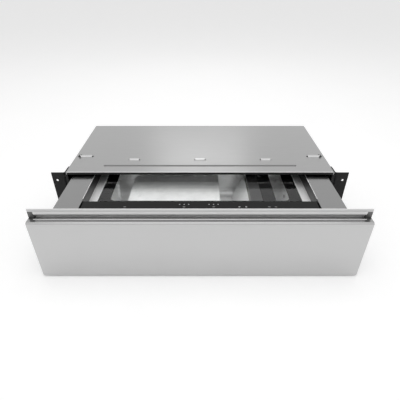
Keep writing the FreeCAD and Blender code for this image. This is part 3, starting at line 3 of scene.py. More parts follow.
import bpy
import numpy as np
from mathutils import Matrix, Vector


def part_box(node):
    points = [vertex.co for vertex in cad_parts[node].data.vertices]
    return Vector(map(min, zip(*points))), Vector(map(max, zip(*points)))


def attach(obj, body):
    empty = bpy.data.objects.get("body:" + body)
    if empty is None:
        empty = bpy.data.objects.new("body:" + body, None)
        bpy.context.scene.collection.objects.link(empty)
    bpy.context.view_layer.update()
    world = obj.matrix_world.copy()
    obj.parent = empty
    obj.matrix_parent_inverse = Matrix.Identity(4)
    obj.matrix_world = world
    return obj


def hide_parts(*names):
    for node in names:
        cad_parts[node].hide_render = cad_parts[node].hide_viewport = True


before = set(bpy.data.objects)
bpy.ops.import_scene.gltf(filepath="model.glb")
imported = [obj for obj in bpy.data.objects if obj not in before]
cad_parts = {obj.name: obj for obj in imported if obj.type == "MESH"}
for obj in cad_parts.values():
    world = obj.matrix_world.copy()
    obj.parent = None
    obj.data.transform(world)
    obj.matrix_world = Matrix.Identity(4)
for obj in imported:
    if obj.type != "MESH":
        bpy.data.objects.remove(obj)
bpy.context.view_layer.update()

bl_info = {
    "name": "Vacuum sealing drawer",
    "version": (1, 0, 0),
    "blender": (4, 5, 0),
    "location": "View3D > Sidebar > Drawer",
    "description": "Finishes, small surfaces and stage of a built-in vacuum sealing drawer",
    "category": "Object",
}

# Metres. X runs to the right, Y to the rear and Z up; the drawer stands partly open.
MM = 0.001
# Gap that keeps an added face off a face of the CAD.
CLEAR = 0.02 * MM
# Scale of the slow clouds in a sheet's gloss. A sheet's roughness keeps clear of about 0.27, since the
# denoiser leaves faint marks where the roughness crosses that value.
CLOUDS = (9.0, 9.0, 9.0)


# Surfaces

def rounded_loop(x_low, x_high, y_low, y_high, radius, steps=14):
    """Closed path round a rectangle: four quarter circles of one radius, joined by straight runs.
    Gives its points, (centre + radius * direction), and the outward direction at each."""
    angle = np.arange(4)[:, None] * (math.pi / 2) + np.linspace(0.0, math.pi / 2, steps)[None, :]
    outward = np.stack([np.cos(angle), np.sin(angle)], axis=-1)
    centres = np.array([
        [x_high - radius, y_high - radius], [x_low + radius, y_high - radius],
        [x_low + radius, y_low + radius], [x_high - radius, y_low + radius],
    ])
    points = centres[:, None, :] + radius * outward
    return points.reshape(-1, 2), outward.reshape(-1, 2)


def ring_faces(rows, columns):
    """Quads of a grid whose rows and columns both close on themselves, as on a torus."""
    row, column = np.meshgrid(np.arange(rows), np.arange(columns), indexing="ij")
    row_next = (row + 1) % rows
    column_next = (column + 1) % columns
    quads = np.stack([
        row * columns + column, row_next * columns + column,
        row_next * columns + column_next, row * columns + column_next,
    ], axis=-1)
    return quads.reshape(-1, 4)


def prism_faces(count):
    """Walls between two outlines of count points each, and a face that fills each outline."""
    here = np.arange(count)
    after = (here + 1) % count
    walls = np.stack([here, after, after + count, here + count], axis=-1)
    return [walls, here[None, ::-1], here[None, :] + count]


def inset_outline(low, high, inset, corner):
    """Outline that runs at an even inset inside a box; its corner radius is the box's less the inset."""
    path, _ = rounded_loop(low.x + inset, high.x - inset, low.y + inset, high.y - inset, corner - inset)
    return path


def stacked_ring(rings):
    """Surface through closed paths of equally many points, each at its own level, and back to the first."""
    levels = [np.column_stack([flat, np.full(len(flat), level)]) for flat, level in rings]
    return np.stack(levels, axis=1).reshape(-1, 3), ring_faces(len(levels[0]), len(levels))


def crowned_profile(width, bottom, top, count=20):
    """Profile of a seal over a full turn t. Its way across is half the width times cos t to the power 0.7.
    Its height above the middle is half the height times sin t to the power 0.8 in the upper half and 0.35 in
    the lower half. The signs of cos t and sin t stay."""
    turn = np.linspace(0.0, 2 * math.pi, count, endpoint=False)
    across = np.sign(np.cos(turn)) * np.abs(np.cos(turn)) ** 0.7 * width / 2
    rise = np.abs(np.sin(turn))
    crown = np.where(np.sin(turn) > 0, rise ** 0.8, -rise ** 0.35)
    return across, (bottom + top) / 2 + crown * (top - bottom) / 2


def swept_ring(path, outward, across, height):
    """Profile carried along a closed path: point + across * outward direction, at the profile's height."""
    flat = path[:, None, :] + outward[:, None, :] * across[None, :, None]
    level = np.broadcast_to(height[None, :, None], flat.shape[:2] + (1,))
    points = np.concatenate([flat, level], axis=-1).reshape(-1, 3)
    return points, ring_faces(len(path), len(across))


def ellipsoid(radii, around=12, rows=7):
    """Closed rounded body: (a cos u sin v, b sin u sin v, c cos v), with one point at each pole."""
    turn = np.arange(around) * (2 * math.pi / around)
    fall = np.linspace(0.0, math.pi, rows + 1)[1:-1]
    u, v = np.meshgrid(turn, fall)
    body = np.stack([np.cos(u) * np.sin(v), np.sin(u) * np.sin(v), np.cos(v)], axis=-1).reshape(-1, 3)
    points = np.vstack([body, [[0.0, 0.0, 1.0]], [[0.0, 0.0, -1.0]]]) * np.asarray(radii)
    here = np.arange(around)
    after = (here + 1) % around
    band = np.arange(rows - 2)[:, None] * around
    quads = np.stack([band + here, band + around + here, band + around + after, band + after], axis=-1)
    last = (rows - 2) * around
    top = np.stack([np.full(around, len(body)), here, after], axis=-1)
    bottom = np.stack([np.full(around, len(body) + 1), last + after, last + here], axis=-1)
    return points, [quads.reshape(-1, 4), top, bottom]


def repeated(points, faces, places):
    """The same body at each place: its points moved there, its faces numbered on."""
    places = np.asarray(places, dtype=float)
    moved = (points[None, :, :] + places[:, None, :]).reshape(-1, 3)
    step = (np.arange(len(places)) * len(points))[:, None, None]
    return moved, [(block[None, :, :] + step).reshape(-1, block.shape[1]) for block in faces]


def bulged_strip(ends, across, seat, thick, upright=False, count=11):
    """Strip on a wall that faces -Y, carried along X, or along Z where upright. Its section stands
    thick * |cos t| ** 0.35 in front of the wall, and crosses it by (1 + sin t) / 2."""
    turn = np.linspace(-math.pi / 2, math.pi / 2, count)
    front = seat - np.abs(np.cos(turn)) ** 0.35 * thick
    side = across[0] + (1 + np.sin(turn)) / 2 * (across[1] - across[0])
    along = np.repeat(np.asarray(ends, dtype=float), count)
    front, side = np.tile(front, 2), np.tile(side, 2)
    points = np.column_stack([side, front, along] if upright else [along, front, side])
    return points, prism_faces(count)


def hem(half_length, middle, radius, along_y=False, around=12, rows=7, last_angle=0.46 * math.pi):
    """Bar with rounded ends, along X with its middle at (y, z), or along Y with its middle at (x, y, z).
    At the ends its radius falls as radius * cos a while it runs out by radius * sin a."""
    fall = np.linspace(0.0, last_angle, rows)
    reach = half_length - radius + radius * np.sin(fall)
    along = np.concatenate([-reach[::-1], reach])
    thick = np.concatenate([np.cos(fall[::-1]), np.cos(fall)]) * radius
    turn = np.arange(around) * (2 * math.pi / around)
    points = np.stack([
        np.repeat(along[:, None], around, axis=1),
        middle[0] + thick[:, None] * np.cos(turn),
        middle[-1] + thick[:, None] * np.sin(turn),
    ], axis=-1).reshape(-1, 3)
    if along_y:
        points = points[:, [1, 0, 2]] + np.array([0.0, middle[1], 0.0])
    here = np.arange(around)
    after = (here + 1) % around
    band = np.arange(len(along) - 1)[:, None] * around
    walls = np.stack([band + here, band + after, band + around + after, band + around + here], axis=-1)
    last = (len(along) - 1) * around
    return points, [walls.reshape(-1, 4), here[None, ::-1], here[None, :] + last]


def film(x, y, levels, corner):
    """Thin sheet with rounded corners: its outline at the lower and at the upper level, each filled."""
    flat, _ = rounded_loop(*x, *y, corner, steps=4)
    points = np.vstack([np.column_stack([flat, np.full(len(flat), level)]) for level in levels])
    return points, prism_faces(len(flat))


def place_object(name, content):
    """Object that holds a mesh, lamp or camera, linked into the scene."""
    holder = bpy.data.objects.new(name, content)
    bpy.context.scene.collection.objects.link(holder)
    return holder


def make_piece(name, points, faces, body, finish, slot, smooth=True):
    """Mesh object at the origin from computed points and faces, turned outwards, on one body."""
    blocks = faces if isinstance(faces, list) else [faces]
    volume = 0.0
    for block in blocks:
        for second in range(1, block.shape[1] - 1):
            a, b, c = points[block[:, 0]], points[block[:, second]], points[block[:, second + 1]]
            volume += float(np.einsum("ij,ij->i", a, np.cross(b, c)).sum())
    if volume < 0:
        blocks = [block[:, ::-1] for block in blocks]
    mesh = bpy.data.meshes.new(name)
    mesh.from_pydata(points.tolist(), [], [face for block in blocks for face in block.tolist()])
    mesh.polygons.foreach_set("use_smooth", np.full(len(mesh.polygons), smooth))
    mesh.materials.append(finish)
    mesh.update()
    piece = place_object(name, mesh)
    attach(piece, body)
    return piece


# Finishes

class Finish:
    """One material under construction: its nodes, its links and its surface shader."""

    def __init__(self, name, colour, roughness, metallic=0.0):
        self.material = bpy.data.materials.new(name)
        self.material.use_nodes = True
        self.tree = self.material.node_tree
        self.shader = self.tree.nodes["Principled BSDF"]
        self.colour = tuple(colour)[:3]
        self.shader.inputs["Base Color"].default_value = (*self.colour, 1.0)
        self.shader.inputs["Roughness"].default_value = roughness
        self.shader.inputs["Metallic"].default_value = metallic
        self.roughness = roughness
        self.bumps = None

    def node(self, kind, **sockets):
        """Add a node and set the named sockets on it."""
        made = self.tree.nodes.new(kind)
        for socket, amount in sockets.items():
            made.inputs[socket.replace("_", " ")].default_value = amount
        return made

    def join(self, source, target):
        """Link an output to an input."""
        self.tree.links.new(source, target)

    def place(self, scale, turn=(0.0, 0.0, 0.0)):
        """Object coordinates, scaled and turned."""
        where = self.node("ShaderNodeTexCoord")
        mapping = self.node("ShaderNodeMapping", Scale=scale, Rotation=turn)
        self.join(where.outputs["Object"], mapping.inputs["Vector"])
        return mapping.outputs["Vector"]

    def noise(self, scale, detail=3.0, rough=0.5, turn=(0.0, 0.0, 0.0)):
        """Noise on object coordinates, with its own scale along each axis."""
        texture = self.node("ShaderNodeTexNoise", Scale=1.0, Detail=detail, Roughness=rough)
        self.join(self.place(scale, turn), texture.inputs["Vector"])
        return texture.outputs["Fac"]

    def cells(self, scale):
        """Voronoi cells on object coordinates: a random colour for each cell, and the distance in it."""
        texture = self.node("ShaderNodeTexVoronoi", Scale=1.0)
        self.join(self.place(scale), texture.inputs["Vector"])
        return texture

    def waves(self, scale, turn=(0.0, 0.0, 0.0)):
        """Sine bands along X of the turned object coordinates."""
        texture = self.node("ShaderNodeTexWave", Scale=1.0, Detail=1.0)
        self.join(self.place(scale, turn), texture.inputs["Vector"])
        return texture.outputs["Fac"]

    def spread(self, source, low, high, start=0.25, end=0.75):
        """Map a value from start..end to low..high."""
        ramp = self.node("ShaderNodeMapRange", From_Min=start, From_Max=end, To_Min=low, To_Max=high)
        self.join(source, ramp.inputs["Value"])
        return ramp.outputs["Result"]

    def by_height(self, low, high, start, end):
        """A value that runs from low to high while the object's height runs from start to end."""
        where = self.node("ShaderNodeTexCoord")
        parts = self.node("ShaderNodeSeparateXYZ")
        self.join(where.outputs["Object"], parts.inputs["Vector"])
        return self.spread(parts.outputs["Z"], low, high, start, end)

    def blend(self, factor, first, second):
        """Mix two colours by a factor."""
        mix = self.tree.nodes.new("ShaderNodeMix")
        mix.data_type = "RGBA"
        self.join(factor, mix.inputs["Factor"])
        for socket, colour in ((mix.inputs[6], first), (mix.inputs[7], second)):
            if isinstance(colour, bpy.types.NodeSocket):
                self.join(colour, socket)
            else:
                socket.default_value = (*colour, 1.0)
        return mix.outputs[2]

    def shade(self, source, amount):
        """Vary the base colour by plus and minus amount with a value."""
        darker = tuple(part * (1 - amount) for part in self.colour)
        lighter = tuple(min(1.0, part * (1 + amount)) for part in self.colour)
        mixed = self.blend(self.spread(source, 0.0, 1.0), darker, lighter)
        self.join(mixed, self.shader.inputs["Base Color"])
        return mixed

    def gloss(self, source, amount):
        """Vary the roughness by plus and minus amount with a value."""
        low = max(0.02, self.roughness - amount)
        self.join(self.spread(source, low, self.roughness + amount), self.shader.inputs["Roughness"])

    def bump(self, source, strength, distance):
        """Add a height to the surface; later ones lie on the earlier ones."""
        relief = self.node("ShaderNodeBump", Strength=strength, Distance=distance)
        self.join(source, relief.inputs["Height"])
        if self.bumps is not None:
            self.join(self.bumps, relief.inputs["Normal"])
        self.bumps = relief.outputs["Normal"]
        self.join(self.bumps, self.shader.inputs["Normal"])


def satin_steel(name, colour, roughness, along=(30.0, 1500.0, 1500.0), streak=0.05, relief=0.08, metal=1.0):
    """Brushed sheet: noise drawn out along the grain shifts colour and height, clouds shift the gloss."""
    finish = Finish(name, colour, roughness, metallic=metal)
    grain = finish.noise(along, detail=4.0, rough=0.6)
    finish.shade(grain, streak)
    finish.gloss(finish.noise(CLOUDS, detail=2.0), 0.02)
    finish.bump(grain, relief, 0.02 * MM)
    return finish.material


def folded_front(name, colour, roughness, ledge_shade_colour, ledge_height):
    """Brushed face, darker over the last 4 mm below its ledge and on the ledge itself: painted shade on the
    ledge and its bend. Fine grain along X in colour and height.
    """
    finish = Finish(name, colour, roughness, metallic=1.0)
    grain = finish.noise((25.0, 1100.0, 1100.0), detail=3.0, rough=0.5)
    # Painted shade: the ledge colour covers the ledge and blends into the face over the 4 mm below it.
    level = finish.by_height(0.0, 1.0, ledge_height - 4.0 * MM, ledge_height)
    colours = finish.blend(level, finish.shade(grain, 0.02), ledge_shade_colour)
    finish.join(colours, finish.shader.inputs["Base Color"])
    finish.gloss(finish.noise(CLOUDS, detail=2.0), 0.012)
    finish.bump(grain, 0.03, 0.02 * MM)
    return finish.material


def two_tone_steel(name, colour, roughness, lower_painted_light_colour, lower_roughness, height, metal=1.0, streak=0.03):
    """Brushed sheet whose colour and gloss change over the 0.8 mm below a height: fine grain along X. The
    lower colour paints the light and shade on the part below that height.
    """
    finish = Finish(name, colour, roughness, metallic=metal)
    grain = finish.noise((60.0, 700.0, 700.0), detail=4.0, rough=0.6)
    upper = finish.shade(grain, streak)
    step = (height - 0.8 * MM, height)
    # Painted light and shade: below the height the sheet takes the lower colour.
    colours = finish.blend(finish.by_height(0.0, 1.0, *step), lower_painted_light_colour, upper)
    finish.join(colours, finish.shader.inputs["Base Color"])
    level = finish.by_height(lower_roughness, roughness, *step)
    clouds = finish.spread(finish.noise(CLOUDS, detail=2.0), -0.03, 0.03)
    total = finish.node("ShaderNodeMath")
    finish.join(level, total.inputs[0])
    finish.join(clouds, total.inputs[1])
    finish.join(total.outputs[0], finish.shader.inputs["Roughness"])
    finish.bump(grain, 0.06, 0.02 * MM)
    return finish.material


def cover_steel(name, colour, roughness, sheet_top, bridge_highlight_colour, bead_highlight_colour):
    """Brushed cover sheet with painted highlights: lighter where bridges stand above the sheet and where the
    bead lies below it, standing in for the light they catch.
    """
    finish = Finish(name, colour, roughness, metallic=1.0)
    grain = finish.noise((30.0, 1500.0, 1500.0), detail=4.0, rough=0.6)
    sheet = finish.shade(grain, 0.05)
    # Painted highlights: the bridges above the sheet and the bead below it take lighter colours.
    raised_highlight = finish.by_height(0.0, 1.0, sheet_top + 0.2 * MM, sheet_top + 0.7 * MM)
    sunk = finish.by_height(1.0, 0.0, sheet_top - 0.5 * MM, sheet_top - 0.05 * MM)
    colours = finish.blend(sunk, finish.blend(raised_highlight, sheet, bridge_highlight_colour), bead_highlight_colour)
    finish.join(colours, finish.shader.inputs["Base Color"])
    finish.gloss(finish.noise(CLOUDS, detail=2.0), 0.02)
    finish.bump(grain, 0.08, 0.02 * MM)
    return finish.material


def galvanised(name, colour, roughness):
    """Zinc-coated sheet: flat crystals, each a little lighter or darker, with finer mottling."""
    finish = Finish(name, colour, roughness, metallic=1.0)
    crystals = finish.cells((130.0, 130.0, 130.0))
    finish.shade(crystals.outputs["Color"], 0.12)
    finish.gloss(finish.noise((320.0, 320.0, 320.0)), 0.08)
    finish.bump(crystals.outputs["Distance"], 0.05, 0.05 * MM)
    return finish.material


def powder_coat(name, colour, roughness, pebble=900.0, relief=0.25, ior=1.45):
    """Sprayed or moulded skin: small soft pebbles in height, clouds in gloss."""
    finish = Finish(name, colour, roughness)
    finish.shader.inputs["IOR"].default_value = ior
    finish.shade(finish.noise((60.0, 60.0, 60.0)), 0.08)
    finish.gloss(finish.noise((35.0, 35.0, 35.0)), 0.05)
    finish.bump(finish.noise((pebble, pebble, pebble), detail=2.0), relief, 0.06 * MM)
    return finish.material


def cast_metal(name, colour, roughness):
    """Die-cast alloy: grainy height and cloudy tone."""
    finish = Finish(name, colour, roughness, metallic=1.0)
    finish.shade(finish.noise((45.0, 45.0, 45.0)), 0.07)
    finish.gloss(finish.noise((80.0, 80.0, 80.0)), 0.06)
    finish.bump(finish.noise((700.0, 700.0, 700.0), detail=5.0), 0.35, 0.1 * MM)
    return finish.material


def dark_glass(name, colour, roughness, ior):
    """Black-printed glass: a smooth face, with faint smears in the gloss."""
    finish = Finish(name, colour, roughness)
    finish.shader.inputs["IOR"].default_value = ior
    smear = finish.noise((14.0, 40.0, 14.0), detail=4.0)
    finish.shade(smear, 0.12)
    finish.gloss(smear, 0.025)
    return finish.material


def clear_glass(name, colour, ior):
    """Toughened float glass: clear, with faint smears and the slow waves of rolled glass."""
    finish = Finish(name, colour, 0.02)
    finish.shader.inputs["IOR"].default_value = ior
    finish.shader.inputs["Transmission Weight"].default_value = 1.0
    finish.gloss(finish.noise((12.0, 30.0, 12.0), detail=4.0), 0.012)
    finish.bump(finish.noise((6.0, 6.0, 6.0), detail=1.0), 0.02, 0.2 * MM)
    return finish.material


def woven_tape(name, colour, roughness):
    """Coated glass cloth: two sets of threads that cross, over and under."""
    finish = Finish(name, colour, roughness)
    warp = finish.waves((420.0, 420.0, 420.0))
    weft = finish.waves((420.0, 420.0, 420.0), turn=(0.0, 0.0, math.pi / 2))
    threads = finish.node("ShaderNodeMath")
    threads.operation = "MULTIPLY"
    finish.join(warp, threads.inputs[0])
    finish.join(weft, threads.inputs[1])
    finish.shade(threads.outputs[0], 0.22)
    finish.gloss(finish.noise((90.0, 90.0, 90.0)), 0.05)
    finish.bump(threads.outputs[0], 0.5, 0.12 * MM)
    return finish.material


def circuit_board(name, colour, roughness):
    """Lacquered laminate: angular conductor runs show through as lighter lines."""
    finish = Finish(name, colour, roughness)
    runs = finish.cells((110.0, 110.0, 110.0))
    runs.distance = "MANHATTAN"
    bands = finish.node("ShaderNodeMath")
    bands.operation = "PINGPONG"
    bands.inputs[1].default_value = 0.14
    finish.join(runs.outputs["Distance"], bands.inputs[0])
    lighter = tuple(min(1.0, part * 2.1) for part in finish.colour)
    mixed = finish.blend(finish.spread(bands.outputs[0], 0.0, 1.0, 0.08, 0.10), finish.colour, lighter)
    finish.join(mixed, finish.shader.inputs["Base Color"])
    finish.gloss(finish.noise((50.0, 50.0, 50.0)), 0.05)
    finish.bump(bands.outputs[0], 0.2, 0.03 * MM)
    return finish.material


def dress(slot_name, material):
    """Give every node of one of the record's material slots its finish."""
    count = 0
    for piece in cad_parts.values():
        for place in piece.material_slots:
            if place.material is not None and place.material.name.split(".")[0] == slot_name:
                place.material = material
                count += 1
    if count == 0:
        raise RuntimeError(f"no node has the material slot {slot_name}")


def dress_node(node, material):
    """Give one node a finish of its own."""
    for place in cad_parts[node].material_slots:
        place.material = material


# Sizes and colours

def tone(name, description, level):
    """A base colour that can be changed in the panel; a single number makes a grey."""
    level = level if isinstance(level, tuple) else (level, level, level)
    return bpy.props.FloatVectorProperty(
        name=name, description=description, default=level, subtype="COLOR", min=0.0, max=1.0,
    )


def amount(name, description, level, top=1.0):
    """A plain number that can be changed in the panel."""
    return bpy.props.FloatProperty(name=name, description=description, default=level, min=0.0, max=top)


def length(name, description, level):
    """A length in metres that can be changed in the panel."""
    return bpy.props.FloatProperty(
        name=name, description=description, default=level, min=0.0, unit="LENGTH", precision=5,
    )


class SEALDRAWER_PG_finishes(bpy.types.PropertyGroup):
    """Colours and gloss of the drawer's surfaces"""

    housing_tone: tone("Housing steel", "Base colour of the housing's sheet", 0.37)
    housing_gloss: amount("Housing roughness", "Roughness of the housing's sheet", 0.30)
    front_tone: tone("Front steel", "Base colour of the front panel's face", 0.66)
    front_gloss: amount("Front roughness", "Roughness of the front panel", 0.26)
    # Painted shade: darker than the face, standing in for the shade on the ledge and its bend.
    ledge_shade_tone: tone("Ledge steel", "Base colour of the ledge on top of the front panel", 0.34)
    grip_tone: tone("Grip steel", "Base colour of the lip behind the ledge", 0.66)
    strip_tone: tone("Side strip steel", "Base colour of the strips beside the chamber", 0.27)
    chamber_tone: tone("Chamber steel", "Base colour of the deck round the tub", 0.90)
    # Painted light: lighter than the deck to make up for the shade inside the tub.
    tub_light_tone: tone("Tub steel", "Base colour of the tub", 0.98)
    chamber_gloss: amount("Chamber roughness", "Roughness of the tub", 0.32)
    insert_tone: tone("Insert plate", "Base colour of the plate in the chamber", 0.78)
    # Painted light: the slope lies in shade under the lip, and its lighter colour stands in for light.
    slope_light_tone: tone("Grip slope", "Base colour of the slope below the lip behind the ledge", 0.90)
    # Painted shade: near black, standing in for the shade on the strips' inner walls.
    wall_shade_tone: tone("Side strip wall", "Base colour of the side strips' inner walls", 0.075)
    # Painted highlight: the bright edges are much lighter than their sheets; the lid's ground glass edge is
    # also pale of its own.
    edge_tone: tone("Bright edges", "Base colour of the bare edges of sheets and glass", 0.92)
    # Painted highlight: lighter than the sheet, standing in for the light the bridges catch.
    bridge_highlight_tone: tone("Cover bridges", "Base colour of the cover's bridges", 0.62)
    # Painted highlight: lighter than the sheet, standing in for the light along the bead.
    bead_highlight_tone: tone("Cover bead", "Base colour of the cover's bead", 0.47)
    # Painted shade: dark steel in the finger channel stands in for the shade in it.
    groove_shade_tone: tone("Finger channel", "Base colour of the channel's floor and ends", 0.17)
    bracket_tone: tone("Bracket coat", "Base colour of the mounting brackets", 0.006)
    strip_glass_tone: tone("Control strip glass", "Base colour of the control strip", 0.004)
    lid_tone: tone("Lid glass", "Tint of the lid", (0.96, 0.97, 0.965))
    print_tone: tone("Lid print", "Base colour of the border printed on the lid", 0.004)
    mark_tone: tone("Touch marks", "Base colour of the marks on the control strip", 0.42)
    dash_tone: tone("Faint touch marks", "Base colour of the fainter marks on the control strip", 0.13)


class SEALDRAWER_PG_sizes(bpy.types.PropertyGroup):
    """Sizes of the pieces added to the drawer"""

    border_side: length("Border at the sides", "Width of the lid's printed border at each side", 21.5 * MM)
    border_front: length("Border in front", "Width of the lid's printed border in front", 18.6 * MM)
    border_rear: length("Border behind", "Width of the lid's printed border behind", 20.0 * MM)
    border_corner: length("Window corner", "Corner radius of the clear window in the lid", 9.0 * MM)
    border_edge: length("Bare edge", "Bare glass round the printed border", 0.2 * MM)
    border_thickness: length("Print thickness", "Thickness of the printed border", 0.1 * MM)
    lid_corner: length("Lid corner", "Corner radius of the lid", 6.0 * MM)
    rim_drop: length("Print rim", "How far the border's outer wall ends below the lid's top", 0.6 * MM)
    gasket_width: length("Gasket width", "Width of the chamber's gasket", 10.0 * MM)
    gasket_corner: length("Gasket corner", "Corner radius of the gasket's middle line", 34.0 * MM)
    mark_radius: length("Mark radius", "Radius of a touch mark", 1.1 * MM)
    mark_height: length("Mark height", "Height of a touch mark above the glass", 0.08 * MM)
    seal_thickness: length("Lip seal thickness", "Thickness of the seal on the cover's lip", 0.5 * MM)
    seal_height: length("Lip seal height", "Height of the seal on the cover's lip", 4.6 * MM)
    cover_lip: length("Cover lip", "Height of the lip in front of the housing's cover", 5.5 * MM)
    side_seal_width: length("Side seal width", "Width of the seals on the housing's side edges", 2.6 * MM)
    side_seal_foot: length("Side seal foot", "Lower end of those seals above the underside", 4.0 * MM)
    side_seal_lap: length("Side seal lap", "How far those seals reach over the brackets' bends", 2.4 * MM)
    corner_seal_half: length("Corner seal half length", "Half the length of the brackets' seals", 10.0 * MM)
    corner_seal_radius: length("Corner seal radius", "Radius of the seals on the brackets' tops", 1.2 * MM)
    comb_proud: length("Comb height", "Height of the ribbed bridges above the cover", 2.8 * MM)
    comb_place: length("Comb place", "Distance of the ribbed bridges from the middle", 244.5 * MM)
    comb_half: length("Comb half width", "Half the width of a ribbed bridge's window", 16.5 * MM)
    comb_front: length("Comb window front", "Front edge of that window behind the cover's front", 66.5 * MM)
    comb_rear: length("Comb window rear", "Rear edge of that window behind the cover's front", 72.5 * MM)
    cap_inner: length("Comb cap inner edge", "From a ribbed bridge's middle to its end cap", 10.0 * MM)
    cap_outer: length("Comb cap far edge", "From a ribbed bridge's middle to its cap's far edge", 14.3 * MM)
    film_corner: length("Film corner", "Corner radius of films and end caps", 0.8 * MM)
    film_height: length("Film height", "Height of a film that lies on the cover", 0.1 * MM)
    hem_radius: length("Hem radius", "Radius of the hem behind the ledge", 0.75 * MM)
    edge_radius: length("Edge radius", "Radius of the bright edges of sheets and glass", 0.5 * MM)
    ball_radius: length("Ball radius", "Radius of the balls in the rails", 2.3 * MM)
    ball_pitch: length("Ball pitch", "Distance between two balls in a strip", 6.0 * MM)
    strip_height: length("Ball strip height", "Height of one of the strips that hold the balls", 4.3 * MM)


class SEALDRAWER_PG_stage(bpy.types.PropertyGroup):
    """Floor, light and camera"""

    floor_tone: tone("Floor", "Colour of the floor", 0.95)
    floor_lift: amount("Floor lift", "Light that the floor adds where the camera sees it", 0.18)
    ambient: amount("Ambient", "Strength of the world's light", 0.60, top=5.0)
    key_power: amount("Top light", "Power of the soft light above, in watts", 15.0, top=500.0)
    rear_power: amount("Rear light", "Power of the low soft light behind, in watts", 0.5, top=500.0)
    camera_place: bpy.props.FloatVectorProperty(
        name="Camera place", description="Where the camera stands", default=(0.0, -0.7291, 0.4760),
        subtype="TRANSLATION", unit="LENGTH",
    )
    camera_pitch: bpy.props.FloatProperty(
        name="Camera pitch", description="How far the camera looks down",
        default=math.radians(35.17), subtype="ANGLE", unit="ROTATION",
    )
    camera_lens: amount("Lens", "Focal length in millimetres on a 36 mm sensor", 31.17, top=500.0)
    camera_shift: amount("Shift", "Upward shift of the picture", 0.031)


# Stage

# Lamps: name, place, target, width, depth, and the setting that holds the power.
LAMPS = (
    ("light_top", (0.0, -0.20, 1.9), (0.0, -0.05, 0.1), 2.2, 2.2, "key_power"),
    ("light_rear", (0.0, 1.43, 0.92), (0.0, 0.0, 0.15), 0.60, 0.12, "rear_power"),
)


def paper_floor(stage, reach=20.0):
    """Square pale floor that is lifted a little where the camera sees it."""
    corners = [(-reach, -reach, 0.0), (reach, -reach, 0.0), (reach, reach, 0.0), (-reach, reach, 0.0)]
    mesh = bpy.data.meshes.new("floor")
    mesh.from_pydata(corners, [], [(0, 1, 2, 3)])
    floor = place_object("floor", mesh)
    paper = Finish("floor_paper", stage.floor_tone, 0.8)
    paper.shade(paper.noise((6.0, 6.0, 6.0)), 0.01)
    lift = paper.node("ShaderNodeEmission", Color=(1.0, 1.0, 1.0, 1.0))
    seen = paper.node("ShaderNodeLightPath")
    level = paper.node("ShaderNodeMath")
    level.operation = "MULTIPLY"
    level.inputs[1].default_value = stage.floor_lift
    both = paper.node("ShaderNodeAddShader")
    paper.join(seen.outputs["Is Camera Ray"], level.inputs[0])
    paper.join(level.outputs[0], lift.inputs["Strength"])
    paper.join(paper.shader.outputs["BSDF"], both.inputs[0])
    paper.join(lift.outputs["Emission"], both.inputs[1])
    paper.join(both.outputs[0], paper.tree.nodes["Material Output"].inputs["Surface"])
    mesh.materials.append(paper.material)


def white_room(ambient):
    """World of one strength that looks white to the camera, in reflections and through glass."""
    world = bpy.data.worlds.new("white_room")
    world.use_nodes = True
    tree = world.node_tree
    tree.nodes.clear()
    path = tree.nodes.new("ShaderNodeLightPath")
    seen = path.outputs["Is Camera Ray"]
    for ray in ("Is Glossy Ray", "Is Transmission Ray"):
        either = tree.nodes.new("ShaderNodeMath")
        either.operation = "MAXIMUM"
        tree.links.new(seen, either.inputs[0])
        tree.links.new(path.outputs[ray], either.inputs[1])
        seen = either.outputs[0]
    mix = tree.nodes.new("ShaderNodeMixShader")
    tree.links.new(seen, mix.inputs["Fac"])
    for socket, strength in ((1, ambient), (2, 1.0)):
        light = tree.nodes.new("ShaderNodeBackground")
        light.inputs["Strength"].default_value = strength
        light.inputs["Color"].default_value = (1.0, 1.0, 1.0, 1.0)
        tree.links.new(light.outputs[0], mix.inputs[socket])
    out = tree.nodes.new("ShaderNodeOutputWorld")
    tree.links.new(mix.outputs[0], out.inputs["Surface"])
    return world


def soft_lamp(name, place, target, width, depth, power):
    """Rectangular lamp at a place, turned to a target."""
    lamp = bpy.data.lights.new(name, "AREA")
    lamp.shape = "RECTANGLE"
    lamp.size = width
    lamp.size_y = depth
    lamp.energy = power
    holder = place_object(name, lamp)
    holder.location = place
    holder.rotation_euler = (Vector(target) - Vector(place)).to_track_quat("-Z", "Y").to_euler()


def photo_camera(stage):
    """Camera at the photograph's place and angle."""
    lens = bpy.data.cameras.new("photo_camera")
    lens.sensor_width = 36.0
    lens.lens = stage.camera_lens
    lens.shift_y = stage.camera_shift
    lens.clip_start = 0.01
    lens.clip_end = 100.0
    camera = place_object("photo_camera", lens)
    camera.location = stage.camera_place
    camera.rotation_euler = (math.pi / 2 - stage.camera_pitch, 0.0, 0.0)
    return camera


# Pieces

